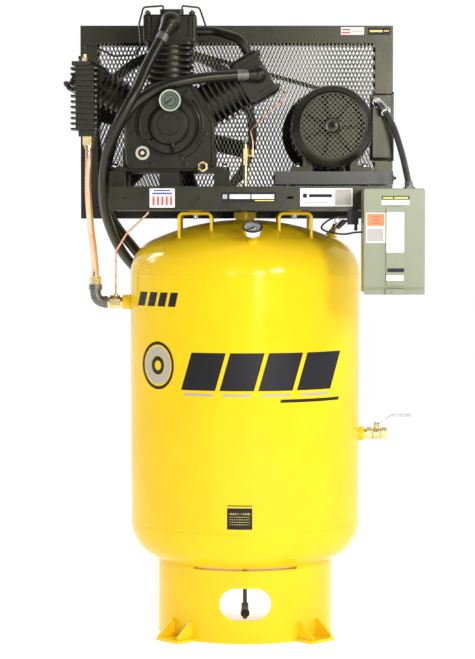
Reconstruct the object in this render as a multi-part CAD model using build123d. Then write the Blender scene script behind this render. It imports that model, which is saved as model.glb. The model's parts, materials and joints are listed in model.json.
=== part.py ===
from build123d import *

import os
from math import acos, asin, atan2, cos, hypot, pi, radians, sin, sqrt, tan

# Vertical tank air compressor: a three-cylinder two-stage pump and an electric motor on a platform
# over an upright receiver, with a mesh belt guard behind them and a magnetic starter at the right.
# Origin: centre of the feet's bolt circle, on the floor. +Z up, -Y front, +X the motor side. Millimetres.

# Receiver
TANK_R = 381
TANK_WALL = 5
TANK_LOW = 366
TANK_HIGH = 1187
CROWN_R = 762
KNUCKLE_R = 127
DISH = CROWN_R - sqrt((CROWN_R - KNUCKLE_R) ** 2 - (TANK_R - KNUCKLE_R) ** 2)
TOP_CROWN_Z = TANK_HIGH + DISH - CROWN_R
SKIRT_R = 291
SKIRT_WALL = 6
FOOT_PCD_R = 325
FOOT_HOLE_R = 11
FOOT_ANGLES = (45, 135, 225, 315)
INLET_Z = 1093
OUTLET_Z = 653
PORT_R = 13

# Platform
DECK_X = (-434, 459)
FRONT_Y = -290
BACK_Y = 205
RAIL_Z = (1396, 1467)
DECK_TOP = 1472
SHEET = 5
FRONT_HOOP_Y = -200
BACK_HOOP_Y = 115
HOOP_X = (110, 214)
HOOP_ROD_R = 5
HOOP_Z = 1387

# Pump
CRANK_X = -244
CRANK_Z = 1669
CASE_Y = (-250, 100)
CASE_WALL = 10
SHAFT_R = 22
RUNNING = 0.05
THROW = 35
ROD_LENGTH = 150
FACET = 126
FIN_START = 151
FIN_PITCH = 20
FIN_COUNT = 6
HEAD_LOW = 275
HEAD_HIGH = 361
BANK = 60
# side, lean from vertical, place along the shaft, bore radius, fin half width, head half width
CYLINDERS = (
    ("left", -BANK, -48, 38, 57, 62),
    ("centre", 0, -80, 57, 76, 86),
    ("right", BANK, -112, 57, 77, 77),
)

# Belt drive
BELT_Y = 265
WHEEL_R = 285
WHEEL_WIDTH = 75
MOTOR_X = 278
MOTOR_Z = 1664
SHEAVE_R = 148
MOTOR_SHAFT_R = 19
GROOVE_PITCH = 22
BELT_TOP = 16.2
BELT_DEPTH = 11
BELT_SIDE_DEG = 17
BELT_GAP = 0.42
GROOVE_DEPTH = 14

# Motor
MOTOR_FRONT = -300
MOTOR_BACK = 120
MOTOR_R = 112
BASE_Z = (1480, 1521)

# Belt guard
GUARD_X = (-561, 506)
GUARD_Y = (205, 330)
GUARD_Z = (1372, 2029)
GUARD_LIP = 58

# Starter
STARTER_X = (369, 556)
STARTER_Y = (-455, -295)
STARTER_Z = (1137, 1462)
COVER_Y = -470

LOW = (Align.CENTER, Align.CENTER, Align.MIN)


def box(x, y, z):
    """A block between three pairs of low and high values."""
    size = [high - low for low, high in (x, y, z)]
    middle = [(low + high) / 2 for low, high in (x, y, z)]
    return Pos(*middle) * Box(*size)


def along(start, end):
    """The place whose Z axis runs from start towards end, and the distance."""
    run = Vector(*end) - Vector(*start)
    return Plane(origin=start, z_dir=run).location, run.length


def rod(start, end, radius, bore=0):
    """A round bar, or a tube where bore is given."""
    place, length = along(start, end)
    solid = Cylinder(radius, length, align=LOW)
    if bore:
        solid -= Cylinder(bore, length, align=LOW)
    return place * solid


def cone(start, end, radius_start, radius_end):
    place, length = along(start, end)
    return place * Cone(radius_start, radius_end, length, align=LOW)


def hexagon(start, end, across, bore=0):
    """A hexagonal bar or nut, by its size across flats."""
    place, length = along(start, end)
    solid = extrude(RegularPolygon(across / 2, 6, major_radius=False), length)
    if bore:
        solid -= Cylinder(bore, length, align=LOW)
    return place * solid


def lathe(profile, origin=(0, 0, 0), direction=(0, 0, 1)):
    """A turned solid from (radius, height) points."""
    face = make_face(Polyline(*[(r, 0, h) for r, h in profile], close=True))
    return Plane(origin=origin, z_dir=direction).location * revolve(face, Axis.Z)


def easy_radii(route):
    """Bend radii as large as the runs beside each bend allow."""
    points = [Vector(*p) for p in route]
    radii = []
    for a, b, c in zip(points, points[1:], points[2:]):
        turn = radians((b - a).get_angle(c - b))
        radii.append(0.45 * min((b - a).length, (c - b).length) / tan(turn / 2))
    return radii


def tube(route, radius, bends=None, bore=0):
    """A round tube of straight runs joined by tangent arcs."""
    path = FilletPolyline(*route, radius=bends or easy_radii(route))
    section = Circle(radius)
    if bore:
        section -= Circle(bore)
    return sweep(Plane(origin=path @ 0, z_dir=path % 0) * section, path=path)


def cord(name, route, radius):
    """A cord's tube, with its figures printed for checking."""
    solid = tube(route, radius)
    path = FilletPolyline(*route, radius=easy_radii(route))
    print(
        name,
        "length", round(path.length),
        "volume ratio", round(solid.volume / (pi * radius**2 * path.length), 4),
        "radii", [round(r) for r in easy_radii(route)],
    )
    save(name, solid)


def save(name, *shapes):
    """Writes one sub-part; a group of pieces stays separate solids."""
    solids = [s for shape in shapes for s in shape.solids()]
    export_step(solids[0] if len(solids) == 1 else Compound(children=solids), f"parts/{name}.step")


# ---------------------------------------------------------------- receiver


def dome_outline(inset):
    """Points from a head's tangent line over its knuckle and crown to the middle, as two arcs."""
    knuckle = KNUCKLE_R - inset
    crown = CROWN_R - inset
    centre_r = TANK_R - KNUCKLE_R
    centre_z = DISH - CROWN_R
    meet = asin(centre_r / (CROWN_R - KNUCKLE_R))
    halfway = (pi / 2 + meet) / 2
    return (
        (centre_r + knuckle, 0, 0),
        (centre_r + knuckle * sin(halfway), 0, knuckle * cos(halfway)),
        (centre_r + knuckle * sin(meet), 0, knuckle * cos(meet)),
        (crown * sin(meet / 2), 0, centre_z + crown * cos(meet / 2)),
        (0, 0, centre_z + crown),
    )


def dome(wall=None):
    """A dished head on its tangent plane: solid, or a shell of the given wall."""
    a, b, c, d, e = dome_outline(0)
    outer = [ThreePointArc(a, b, c), ThreePointArc(c, d, e)]
    if wall is None:
        lines = outer + [Line(e, (0, 0, 0)), Line((0, 0, 0), a)]
    else:
        f, g, h, i, j = dome_outline(wall)
        inner = [ThreePointArc(f, g, h), ThreePointArc(h, i, j)]
        lines = outer + [Line(e, j), Line(a, f)] + inner
    return revolve(make_face(lines), Axis.Z)


def tank_body():
    """The receiver's outside as one solid, for cutting what is welded to it."""
    top = Pos(0, 0, TANK_HIGH) * dome()
    bottom = Pos(0, 0, TANK_LOW) * mirror(dome(), Plane.XY)
    return rod((0, 0, TANK_LOW), (0, 0, TANK_HIGH), TANK_R) + top + bottom


def receiver(body):
    inlet = rod((-TANK_R - 30, 0, INLET_Z), (-TANK_R + 30, 0, INLET_Z), PORT_R)
    outlet = rod((TANK_R - 30, 0, OUTLET_Z), (TANK_R + 30, 0, OUTLET_Z), PORT_R)
    shell = rod((0, 0, TANK_LOW), (0, 0, TANK_HIGH), TANK_R, TANK_R - TANK_WALL)
    save("tank_shell", shell - inlet - outlet)
    save("tank_top_head", Pos(0, 0, TANK_HIGH) * dome(TANK_WALL))
    drain = rod((0, 0, 150), (0, 0, 230), 7)
    save("tank_bottom_head", Pos(0, 0, TANK_LOW) * mirror(dome(TANK_WALL), Plane.XY) - drain)

    skirt = rod((0, 0, 0), (0, 0, 252), SKIRT_R, SKIRT_R - SKIRT_WALL)
    vent_half = SKIRT_R * sin(radians(35))
    for side in (-1, 1):
        skirt -= box((-vent_half, vent_half), sorted((side * 150, side * 320)), (236, 260))
    skirt -= box((-320, -200), (-35, 35), (232, 260))
    window = extrude(Plane.XZ * Pos(0, 128) * SlotOverall(166, 103), 320)
    doorway = extrude(Plane.XZ * Pos(0, 120) * SlotOverall(210, 119), -320)
    doorway += box((-105, 105), (200, 320), (-1, 120))
    save("base_skirt", skirt - window - doorway - body)

    feet = []
    for angle in FOOT_ANGLES:
        pad = box((SKIRT_R - 20, 361), (-55, 55), (0, 10))
        pad = fillet(pad.edges().filter_by(Axis.Z).group_by(Axis.X)[-1], 12)
        pad -= rod((FOOT_PCD_R, 0, -1), (FOOT_PCD_R, 0, 20), FOOT_HOLE_R)
        for y in (-47, 39):
            corners = [(275, 0, 10), (352, 0, 10), (352, 0, 18), (299, 0, 62), (275, 0, 62)]
            web = make_face(Polyline(*corners, close=True))
            pad += Pos(0, y + 8, 0) * extrude(web, 8, dir=(0, -1, 0))
        foot = pad - rod((0, 0, -1), (0, 0, 70), SKIRT_R)
        feet.append(Rot(0, 0, angle) * foot)
    save("skirt_feet", *feet)


def couplings(body):
    """Welded-on threaded bosses: inlet, outlet, top, gauge, safety valve and drain."""
    profile = [(PORT_R, 0), (23.5, 0), (23.5, 18), (26, 22), (26, 50), (PORT_R, 50)]
    inlet = lathe(profile, (-407, 0, INLET_Z), (1, 0, 0))
    outlet = rod((397, 0, OUTLET_Z), (350, 0, OUTLET_Z), 23, PORT_R)
    top = rod((0, 0, 1340), (0, 0, 1372), 31, 20) + rod((0, 0, 1372), (0, 0, 1391), 38, 20)
    gauge = rod(point_on(GAUGE_SEAT, GAUGE_AXIS, -20), point_on(GAUGE_SEAT, GAUGE_AXIS, 14), 16, 6)
    valve = rod(point_on(VALVE_SEAT, VALVE_AXIS, -25), point_on(VALVE_SEAT, VALVE_AXIS, 14), 20, 10)
    drain = rod((0, 0, 176), (0, 0, 200), 17, 7)
    plug = rod((0, 0, 1372), (0, 0, 1391), 20) + box((-9, 9), (-9, 9), (1391, 1395))
    bosses = [b - body for b in (inlet, outlet, top, gauge, valve, drain)]
    save("tank_couplings", *bosses, plug)


def point_on(origin, axis, distance):
    """The point a distance along a unit axis."""
    return tuple(o + a * distance for o, a in zip(origin, axis))


def unit(x, y, z):
    length = sqrt(x * x + y * y + z * z)
    return (x / length, y / length, z / length)


def crown_point(x, y):
    """A point on the top head's crown and the head's normal there."""
    height = sqrt(CROWN_R**2 - x * x - y * y)
    return (x, y, TOP_CROWN_Z + height), unit(x, y, height)


VALVE_SEAT, VALVE_AXIS = crown_point(288, 100)
GAUGE_SEAT = (23, -316, 1290)
GAUGE_AXIS = unit(0, -0.53, 0.848)


def hoops(body):
    """Bent rod brackets welded to the top head, with a flat tab where each bolts to a rail."""
    pieces = []
    for y, inward in ((FRONT_HOOP_Y, 1), (BACK_HOOP_Y, -1)):
        for side in (-1, 1):
            inner, outer = side * HOOP_X[0], side * HOOP_X[1]
            middle = (inner + outer) / 2
            route = [(inner, y, 1290), (inner, y, HOOP_Z), (outer, y, HOOP_Z), (outer, y, 1280)]
            loop = tube(route, HOOP_ROD_R, [15, 15])
            near, far = sorted((y + inward * 2, y + inward * 40))
            tab = box((middle - 20, middle + 20), (near, far), (HOOP_Z + 1, RAIL_Z[0]))
            tab -= rod((middle, y + inward * 24, 1380), (middle, y + inward * 24, 1400), 5.5)
            pieces.append(loop + tab - body)
    save("support_hoops", *pieces)


def hoop_bolt_places():
    for y, inward in ((FRONT_HOOP_Y, 1), (BACK_HOOP_Y, -1)):
        for side in (-1, 1):
            yield side * sum(HOOP_X) / 2, y + inward * 24


def drain():
    pipe = rod((0, 0, 82), (0, 0, 176), 7, 4)
    elbow = rod((0, 0, 56), (0, 0, 82), 12) + rod((0, 12, 67), (0, -32, 67), 12)
    nipple = rod((0, -32, 67), (0, -70, 67), 7, 4)
    body = hexagon((0, -70, 67), (0, -92, 67), 22) + rod((0, -81, 67), (0, -81, 44), 7)
    body -= rod((0, -81, 43), (0, -81, 60), 4)
    body -= rod((0, -84, 67), (0, -93, 67), 5 + RUNNING)
    save("drain_pipe", pipe, elbow, nipple, body)
    profile = [(0, 0), (5, 0), (5, 14), (13, 14), (15, 17), (15, 25), (12, 29), (0, 29)]
    knob = lathe(profile, (0, -84.5, 67), (0, -1, 0))
    for k in range(8):
        turn = radians(45 * k)
        x, z = 15.5 * cos(turn), 67 + 15.5 * sin(turn)
        knob -= rod((x, -96, z), (x, -120, z), 2)
    save("drain_cock", knob)


def outlet_valve():
    """Ball valve on the receiver's outlet, with a lever that stands along the pipe when open."""
    start, end = 397, 474
    ball_x = 440
    body = rod((start, 0, OUTLET_Z), (start + 12, 0, OUTLET_Z), 17)
    body += hexagon((start + 10, 0, OUTLET_Z), (start + 26, 0, OUTLET_Z), 36)
    body += lathe(
        [(0, 0), (16, 0), (19, 8), (19, 26), (16, 34), (0, 34)], (start + 24, 0, OUTLET_Z), (1, 0, 0)
    )
    body += hexagon((end - 20, 0, OUTLET_Z), (end, 0, OUTLET_Z), 36)
    body += rod((ball_x, 0, OUTLET_Z), (ball_x, 0, OUTLET_Z + 27), 9)
    body -= Pos(ball_x, 0, OUTLET_Z) * Sphere(15.3)
    body -= rod((start - 1, 0, OUTLET_Z), (end + 1, 0, OUTLET_Z), 10)
    body -= rod((ball_x, 0, OUTLET_Z), (ball_x, 0, OUTLET_Z + 30), 5 + RUNNING)
    body -= rod((end - 18, 0, OUTLET_Z), (end + 1, 0, OUTLET_Z), PORT_R)
    save("outlet_valve_body", body)

    ball = Pos(ball_x, 0, OUTLET_Z) * Sphere(15) - rod((start, 0, OUTLET_Z), (end, 0, OUTLET_Z), 10)
    ball += rod((ball_x, 0, OUTLET_Z + 12), (ball_x, 0, 691), 5)
    hub = box((ball_x - 11, ball_x + 11), (-9, 9), (681, 684))
    hub += slanted_strip((ball_x + 8, 683), (490, 714), 18, 3)
    hub += box((489, 556), (-9, 9), (712.5, 715.5))
    hub = hub - rod((ball_x, 0, 680), (ball_x, 0, 686), 5)
    grip = box((492, 558), (-10.5, 10.5), (710, 712.5)) + box((492, 558), (-10.5, 10.5), (715.5, 718))
    nut = hexagon((ball_x, 0, 684), (ball_x, 0, 690), 14, 5)
    save("outlet_valve_lever", ball, hub, grip, nut)


def slanted_strip(start, end, width, thickness):
    """A flat strip between two (x, z) points, centred on Y = 0."""
    run = Vector(end[0] - start[0], 0, end[1] - start[1])
    middle = ((start[0] + end[0]) / 2, 0, (start[1] + end[1]) / 2)
    place = Plane(origin=middle, x_dir=run, z_dir=run.cross(Vector(0, 1, 0))).location
    return place * Box(run.length, width, thickness)


def dial_gauge(name, seat, axis, stem, radius, depth):
    """A dial gauge on a stem, with its needle on a pin in front of the dial."""
    base = point_on(seat, axis, stem)
    case = lathe(
        [
            (0, 0), (radius - 3, 0), (radius - 1, 2), (radius - 1, depth - 5), (radius, depth - 4),
            (radius, depth), (radius - 4, depth), (radius - 4, depth - 7), (0, depth - 7),
        ],
        base,
        axis,
    )
    post = rod(point_on(base, axis, depth - 9), point_on(base, axis, depth - 2), 1.4)
    socket = hexagon(seat, base, 12)
    save(name, case + post + socket)
    place = Plane(origin=point_on(base, axis, depth - 5), x_dir=(1, 0, 0), z_dir=axis).location
    reach = radius - 9
    blade = make_face(Polyline((-8, -2), (0, -3), (reach, -0.5), (reach, 0.5), (0, 3), (-8, 2), close=True))
    needle = extrude(blade, 1) + Cylinder(4, 2, align=LOW)
    needle -= Cylinder(1.4 + RUNNING, 10)
    save(name + "_needle", place * Rot(0, 0, 215) * needle)


def safety_valve():
    def at(distance):
        return point_on(VALVE_SEAT, VALVE_AXIS, distance)

    body = hexagon(at(14), at(30), 24) + rod(at(30), at(52), 10)
    body -= rod(at(34), at(60), 3.2)
    save("safety_valve", body)
    stem = rod(at(35), at(58), 3)
    hoop = Plane(origin=at(67), z_dir=(0, 1, 0)).location * Torus(9, 1.5)
    save("safety_valve_ring", stem + hoop)


# ---------------------------------------------------------------- discharge line


def discharge_line():
    route = [
        (-505, -200, 1606), (-505, -200, 1560), (-510, -170, 1460), (-508, -110, 1360),
        (-502, -40, 1275), (-498, 0, 1210), (-498, 0, 1165),
    ]
    save("discharge_tube", tube(route, 11, bore=9))
    top_nut = hexagon((-505, -200, 1634), (-505, -200, 1606), 34)
    top_nut += rod((-505, -200, 1606), (-505, -200, 1596), 15, 11)
    low_nut = hexagon((-498, 0, 1179), (-498, 0, 1152), 32) - rod((-498, 0, 1165), (-498, 0, 1200), 11)
    head_fitting = hexagon((-516, -200, 1873), (-516, -200, 1886), 16)
    head_fitting += rod((-516, -200, 1886), (-516, -200, 1898), 6)
    drain = hexagon((-136, -250, 1535), (-136, -268, 1535), 30)
    drain += rod((-136, -268, 1535), (-136, -280, 1535), 11)
    sight = lathe([(0, 0), (22, 0), (22, 7), (15, 10), (15, 7), (0, 7)], (-329, -250, 1579), (0, -1, 0))
    save("brass_fittings", top_nut, low_nut, head_fitting, drain, sight)

    check = rod((-458, 0, INLET_Z), (-407, 0, INLET_Z), 16, 9)
    check += hexagon((-450, 0, INLET_Z), (-416, 0, INLET_Z), 38, 9)
    check += rod((-430, 0, INLET_Z + 17), (-430, 0, INLET_Z + 28), 7)
    save("inlet_check_valve", check)


def pipe_elbow():
    """Malleable elbow from the discharge tube down and round to the check valve."""
    corner = Vector(-498, 0, INLET_Z)
    bend = tube([(-498, 0, 1145), (-498, 0, INLET_Z), (-462, 0, INLET_Z)], 18, [30], bore=11)
    collars = rod((-498, 0, 1152), (-498, 0, 1134), 22, 11)
    collars += rod((-470, 0, INLET_Z), (-458, 0, INLET_Z), 20, 11)
    return bend + collars


def aftercooler():
    """Finned cooler at the left: two headers joined by tubes through a stack of fins."""
    x, y = (-561, -470), (-245, -155)
    core = box((x[0] + 16, x[1] - 16), (y[0] + 16, y[1] - 16), (1652, 1861))
    for k in range(12):
        z = 1654 + 17.6 * k
        fin = box(x, y, (z, z + 6))
        core += fillet(fin.edges().filter_by(Axis.Z), 12)
    core += box((-556, -498), (-240, -160), (1861, 1873)) + box((-536, -484), (-225, -175), (1634, 1654))
    return core


# ---------------------------------------------------------------- platform


def platform():
    """Two bent channels that lie on the hoops, and the deck plate across them."""
    front = channel(FRONT_Y, 1)
    back = channel(BACK_Y, -1)
    deck = box(DECK_X, (FRONT_Y, BACK_Y), (RAIL_Z[1], DECK_TOP))
    for x, y in pump_bolt_places():
        deck -= rod((x, y, 1460), (x, y, 1480), 5.5)
    for x, y in base_bolt_places():
        deck -= rod((x, y, 1460), (x, y, 1480), 5.5)
    for x, y in hoop_bolt_places():
        hole = rod((x, y, 1390), (x, y, 1405), 5.5)
        front -= hole
        back -= hole
    slot = extrude(Plane.XZ * Pos(143, 1436) * SlotOverall(21, 8), 320)
    front -= slot
    for x in (-387, -150):
        front -= rod((x, -300, 1436), (x, -280, 1436), 3)
    save("mounting_platform", front, back, deck)


def channel(face_y, inward):
    """A C channel, open towards the middle, 71 high with 140 wide flanges."""
    web = sorted((face_y, face_y + inward * SHEET))
    flange = sorted((face_y, face_y + inward * 140))
    low = box(DECK_X, flange, (RAIL_Z[0], RAIL_Z[0] + SHEET))
    high = box(DECK_X, sorted((face_y, face_y + inward * 30)), (RAIL_Z[1] - SHEET, RAIL_Z[1]))
    return low + high + box(DECK_X, web, RAIL_Z)


def pump_bolt_places():
    for x in (CRANK_X - 178, CRANK_X + 178):
        for y in (-215, 60):
            yield x, y


def base_bolt_places():
    for x in (136, 400):
        for y in (-190, 40):
            yield x, y


def bolt(x, y, top, length, size=8):
    """A hexagon-head bolt with its washer, hanging down through a stack, and its nut below."""
    head = hexagon((x, y, top + 2), (x, y, top + 2 + 0.65 * size * 1.4), size * 1.6)
    washer = rod((x, y, top), (x, y, top + 2), size * 1.1)
    shank = rod((x, y, top), (x, y, top - length), size * 0.5)
    return head + washer + shank


def fasteners():
    """The bolts that hold the pump, the motor base, the motor and the platform, and the heads' bolts."""
    pieces = [bolt(x, y, 1535, 74, 10) for x, y in pump_bolt_places()]
    pieces += [bolt(x, y, 1485, 24, 10) for x, y in base_bolt_places()]
    pieces += [bolt(x, y, 1537, 24, 10) for x, y in motor_bolt_places()]
    for x, y in hoop_bolt_places():
        shank = rod((x, y, 1373), (x, y, 1409), 5)
        head = hexagon((x, y, 1401), (x, y, 1408), 16)
        nut = hexagon((x, y, 1380), (x, y, 1388), 16)
        pieces.append(shank + head + nut)
    for lean_args in CYLINDERS:
        side, lean, y, bore, fin, half = lean_args
        place = pump_place(lean, y)
        for dx in (-1, 1):
            for dy in (-1, 1):
                x, y = dx * (half - 14), dy * (half - 14)
                nut = hexagon((x, y, HEAD_HIGH), (x, y, HEAD_HIGH + 9), 17)
                stud = rod((x, y, HEAD_HIGH), (x, y, HEAD_HIGH + 14), 5)
                pieces.append(place * (nut + stud))
    save("fasteners", *pieces)


# ---------------------------------------------------------------- pump


def pump_place(lean, y):
    """The place of a cylinder: local Z runs out along it from the crank's axis."""
    return Location((CRANK_X, y, CRANK_Z), (0, lean, 0))


def case_outline(inset):
    """The crankcase's cross-section about the crank, as a face on the XZ plane."""
    points = [
        (-143, -122), (-143, 4), (-72.7, 126), (72.7, 126), (143, 4), (143, -122), (120, -148), (-120, -148),
    ]
    face = make_face(Polyline(*points, close=True))
    if inset:
        face = offset(face, -inset, kind=Kind.INTERSECTION)
    return Plane.XZ * face


def crankcase():
    shell = Pos(0, sum(CASE_Y) / 2, 0) * extrude_y(case_outline(0), CASE_Y[1] - CASE_Y[0])
    length = CASE_Y[1] - CASE_Y[0] - 2 * CASE_WALL
    hollow = Pos(0, sum(CASE_Y) / 2, 0) * extrude_y(case_outline(CASE_WALL), length)
    shell -= hollow
    shell += rod((CRANK_X, 90, CRANK_Z), (CRANK_X, 135, CRANK_Z), 48)
    low = CRANK_Z - 148
    flange = box((CRANK_X - 188, CRANK_X + 193), (-232, 82), (low, low + 14))
    shell += fillet(flange.edges().filter_by(Axis.Z), 15) - hollow
    for x in (CRANK_X - 168, CRANK_X, CRANK_X + 168):
        half = 25 if x != CRANK_X else 32
        for y in (-215, 60):
            shell += box((x - half, x + half), (y - 28, y + 28), (DECK_TOP, low))
    for x in (CRANK_X - 150, CRANK_X + 142):
        for y in (-205, -75, 55):
            shell += box((x, x + 8), (y - 5, y + 5), (low + 10, low + 70)) - hollow
    for x, y in pump_bolt_places():
        shell -= rod((x, y, 1460), (x, y, 1560), 5.5)
    shell -= rod((CRANK_X, CASE_Y[0] - 1, CRANK_Z), (CRANK_X, CASE_Y[0] + 20, CRANK_Z), 78)
    shell -= rod((CRANK_X, 80, CRANK_Z), (CRANK_X, 140, CRANK_Z), SHAFT_R + RUNNING)
    for side, lean, y, bore, fin, half in CYLINDERS:
        shell -= pump_place(lean, y) * Pos(0, 0, FACET - 20) * Cylinder(bore + 2, 40, align=LOW)
    save("crankcase", shell)


def extrude_y(face, length):
    """Extrudes a face on the XZ plane about the crank's axis, half each way along Y."""
    return Pos(CRANK_X, 0, CRANK_Z) * extrude(face, length / 2, both=True)


def front_cover():
    """Bearing carrier on the crankcase's front, with stiffening ribs and the oil gauge's boss."""
    y = CASE_Y[0]
    cover = lathe(
        [
            (0, -12), (77.5, -12), (77.5, 0), (100, 0), (100, 12), (96, 15), (90, 12), (67, 12),
            (60, 40), (52, 44), (36, 44), (34, 50), (0, 50),
        ],
        (CRANK_X, y, CRANK_Z),
        (0, -1, 0),
    )
    for turn, reach in ((90, 94), (141, 78)):
        rib = box((40, reach), (y - 34, y - 10), (-4, 4))
        rib -= Pos(reach, y - 40, 0) * Rot(0, 0, -28) * Box(60, 40, 10)
        cover += Pos(CRANK_X + (12 if turn == 90 else 0), 0, CRANK_Z) * Rot(0, turn, 0) * rib
    for k in range(8):
        turn = radians(45 * k + 10)
        at = (CRANK_X + 79 * cos(turn), y - 12, CRANK_Z + 79 * sin(turn))
        cover += hexagon(at, (at[0], y - 18, at[2]), 10)
    cover += rod((-239, y, 1743), (-239, y - 16, 1743), 14)
    cover -= rod((CRANK_X, y + 13, CRANK_Z), (CRANK_X, y - 36, CRANK_Z), SHAFT_R + RUNNING)
    save("front_bearing_cover", cover)


def cylinder(side, lean, y, bore, fin, half):
    """A finned barrel with square flanges, open right through."""
    body = box((-71, 71), (-68, 68), (FACET, FACET + 12))
    body += Pos(0, 0, FACET) * Cylinder(bore + 9, HEAD_LOW - FACET, align=LOW)
    for k in range(FIN_COUNT):
        z = FIN_START + FIN_PITCH * k
        plate = box((-fin, fin), (-fin, fin), (z, z + 6))
        body += fillet(plate.edges().filter_by(Axis.Z), 24)
    body += fillet(box((-fin, fin), (-fin, fin), (HEAD_LOW - 10, HEAD_LOW)).edges().filter_by(Axis.Z), 18)
    body -= Pos(0, 0, FACET - 1) * Cylinder(bore, HEAD_LOW - FACET + 2, align=LOW)
    save("cylinder_" + side, pump_place(lean, y) * body)


def head(side, lean, y, bore, fin, half):
    """A head with a cavity over the bore, cooling slots along its faces and its ports."""
    block = box((-half, half), (-half, half), (HEAD_LOW, HEAD_HIGH))
    block = fillet(block.edges().filter_by(Axis.Z), 10)
    block = fillet(block.faces().sort_by(Axis.Z)[-1].edges(), 6)
    for x in (-half + 9, -half + 24, half - 28, half - 13):
        for face in (-1, 1):
            depth = sorted((face * (half - 9), face * (half + 2)))
            block -= box((x, x + 4), depth, (HEAD_LOW + 14, HEAD_HIGH - 8))
    for k in range(7):
        slot_y = -half + 22 + k * (2 * half - 44) / 6 - 2
        for face in (-1, 1):
            depth = sorted((face * (half - 12), face * (half + 2)))
            block -= box(depth, (slot_y, slot_y + 5), (HEAD_LOW + 12, HEAD_HIGH - 8))
    block -= box((-bore * 0.7, bore * 0.7), (-bore * 0.7, bore * 0.7), (HEAD_LOW + 12, HEAD_HIGH - 14))
    return block


def heads():
    by_side = {args[0]: args for args in CYLINDERS}
    side, lean, y, bore, fin, half = by_side["left"]
    save("head_left", pump_place(lean, y) * head(*by_side["left"]))

    side, lean, y, bore, fin, half = by_side["centre"]
    centre = pump_place(lean, y) * head(*by_side["centre"])
    centre += fillet(box((-278, -201), (y - 40, y + 40), (2029, 2051)).edges().filter_by(Axis.Z), 12)
    bend = before(HOSE_HIGH, 76)
    centre += rod((bend[0], y - half + 2, bend[2]), bend, 33) + Pos(*bend) * Sphere(33)
    centre += cone(bend, before(HOSE_HIGH, 26), 32, 21)
    centre += rod((-175, y, 2029), (-175, y, 2043), 9)
    save("head_centre", centre)

    side, lean, y, bore, fin, half = by_side["right"]
    right = pump_place(lean, y) * head(*by_side["right"])
    bend = before(HOSE_LOW, 76)
    right += rod((bend[0], y - half + 2, bend[2]), bend, 28) + Pos(*bend) * Sphere(28)
    right += cone(bend, before(HOSE_LOW, 38), 26, 20)
    save("head_right", right)


def crank():
    """One-piece crank with its three rod big ends side by side on the pin."""
    axis_x, axis_z = CRANK_X, CRANK_Z
    shaft = rod((axis_x, -285, axis_z), (axis_x, -134, axis_z), SHAFT_R)
    shaft += rod((axis_x, -26, axis_z), (axis_x, 306, axis_z), SHAFT_R)
    pin_z = axis_z + THROW
    shaft += rod((axis_x, -134, pin_z), (axis_x, -26, pin_z), 18)
    for y in (-152, -26):
        web = rod((axis_x, y, pin_z), (axis_x, y + 18, pin_z), 28)
        web += rod((axis_x, y, axis_z), (axis_x, y + 18, axis_z), 72) & box(
            (axis_x - 72, axis_x + 72), (y, y + 18), (axis_z - 72, axis_z)
        )
        web += box((axis_x - 28, axis_x + 28), (y, y + 18), (axis_z - 10, pin_z))
        shaft += web
    rings = [rod((axis_x, y - 12, pin_z), (axis_x, y + 12, pin_z), 32, 18) for _, _, y, *_ in CYLINDERS]
    save("crankshaft", shaft, *rings)


def piston(side, lean, y, bore, fin, half):
    """A piston with its pin and the upper part of its rod, placed for the crank pin at the top."""
    turn = radians(lean)
    reach = THROW * cos(turn) + sqrt(ROD_LENGTH**2 - (THROW * sin(turn)) ** 2)
    drop = THROW + ROD_LENGTH - reach
    body = Pos(0, 0, 205) * Cylinder(bore - RUNNING, 66, align=LOW)
    body -= Pos(0, 0, 204) * Cylinder(bore - 8, 55, align=LOW)
    body += rod((0, 7 - bore, 232), (0, bore - 7, 232), 10)
    body += rod((0, -12, 232), (0, 12, 232), 17) + box((-11, 11), (-8, 8), (170, 220))
    save("piston_" + side, pump_place(lean, y) * Pos(0, 0, -drop) * body)


def groove_profile(radius):
    """Rim outline of a three-groove pulley from one edge to the other, as (radius, height) points."""
    side = tan(radians(BELT_SIDE_DEG))
    mouth = BELT_TOP / 2 + BELT_GAP / cos(radians(BELT_SIDE_DEG))
    floor = mouth - GROOVE_DEPTH * side
    points = [(radius, -WHEEL_WIDTH / 2)]
    for k in (-1, 0, 1):
        middle = k * GROOVE_PITCH
        points += [
            (radius, middle - mouth),
            (radius - GROOVE_DEPTH, middle - floor),
            (radius - GROOVE_DEPTH, middle + floor),
            (radius, middle + mouth),
        ]
    return points + [(radius, WHEEL_WIDTH / 2)]


def flywheel():
    rim = lathe(groove_profile(WHEEL_R) + [(255, WHEEL_WIDTH / 2), (255, -WHEEL_WIDTH / 2)])
    wheel = rim + Cylinder(46, 64)
    for k in range(6):
        spoke = Pos(150, 0, 0) * Rot(28, 0, 0) * Box(224, 58, 12)
        wheel += Rot(0, 0, 60 * k - 14) * spoke
    wheel -= Cylinder(SHAFT_R, 100)
    save("flywheel", Location((CRANK_X, BELT_Y, CRANK_Z), (90, 0, 0)) * wheel)


def sheave():
    rim = lathe(groove_profile(SHEAVE_R) + [(116, WHEEL_WIDTH / 2), (116, -WHEEL_WIDTH / 2)])
    wheel = rim + Cylinder(36, 64) + Cylinder(118, 14)
    for k in range(4):
        wheel -= Rot(0, 0, 90 * k) * Pos(76, 0, 0) * Cylinder(22, 40)
    wheel -= Cylinder(MOTOR_SHAFT_R, 100)
    save("motor_sheave", Location((MOTOR_X, BELT_Y, MOTOR_Z), (90, 0, 0)) * wheel)


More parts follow.
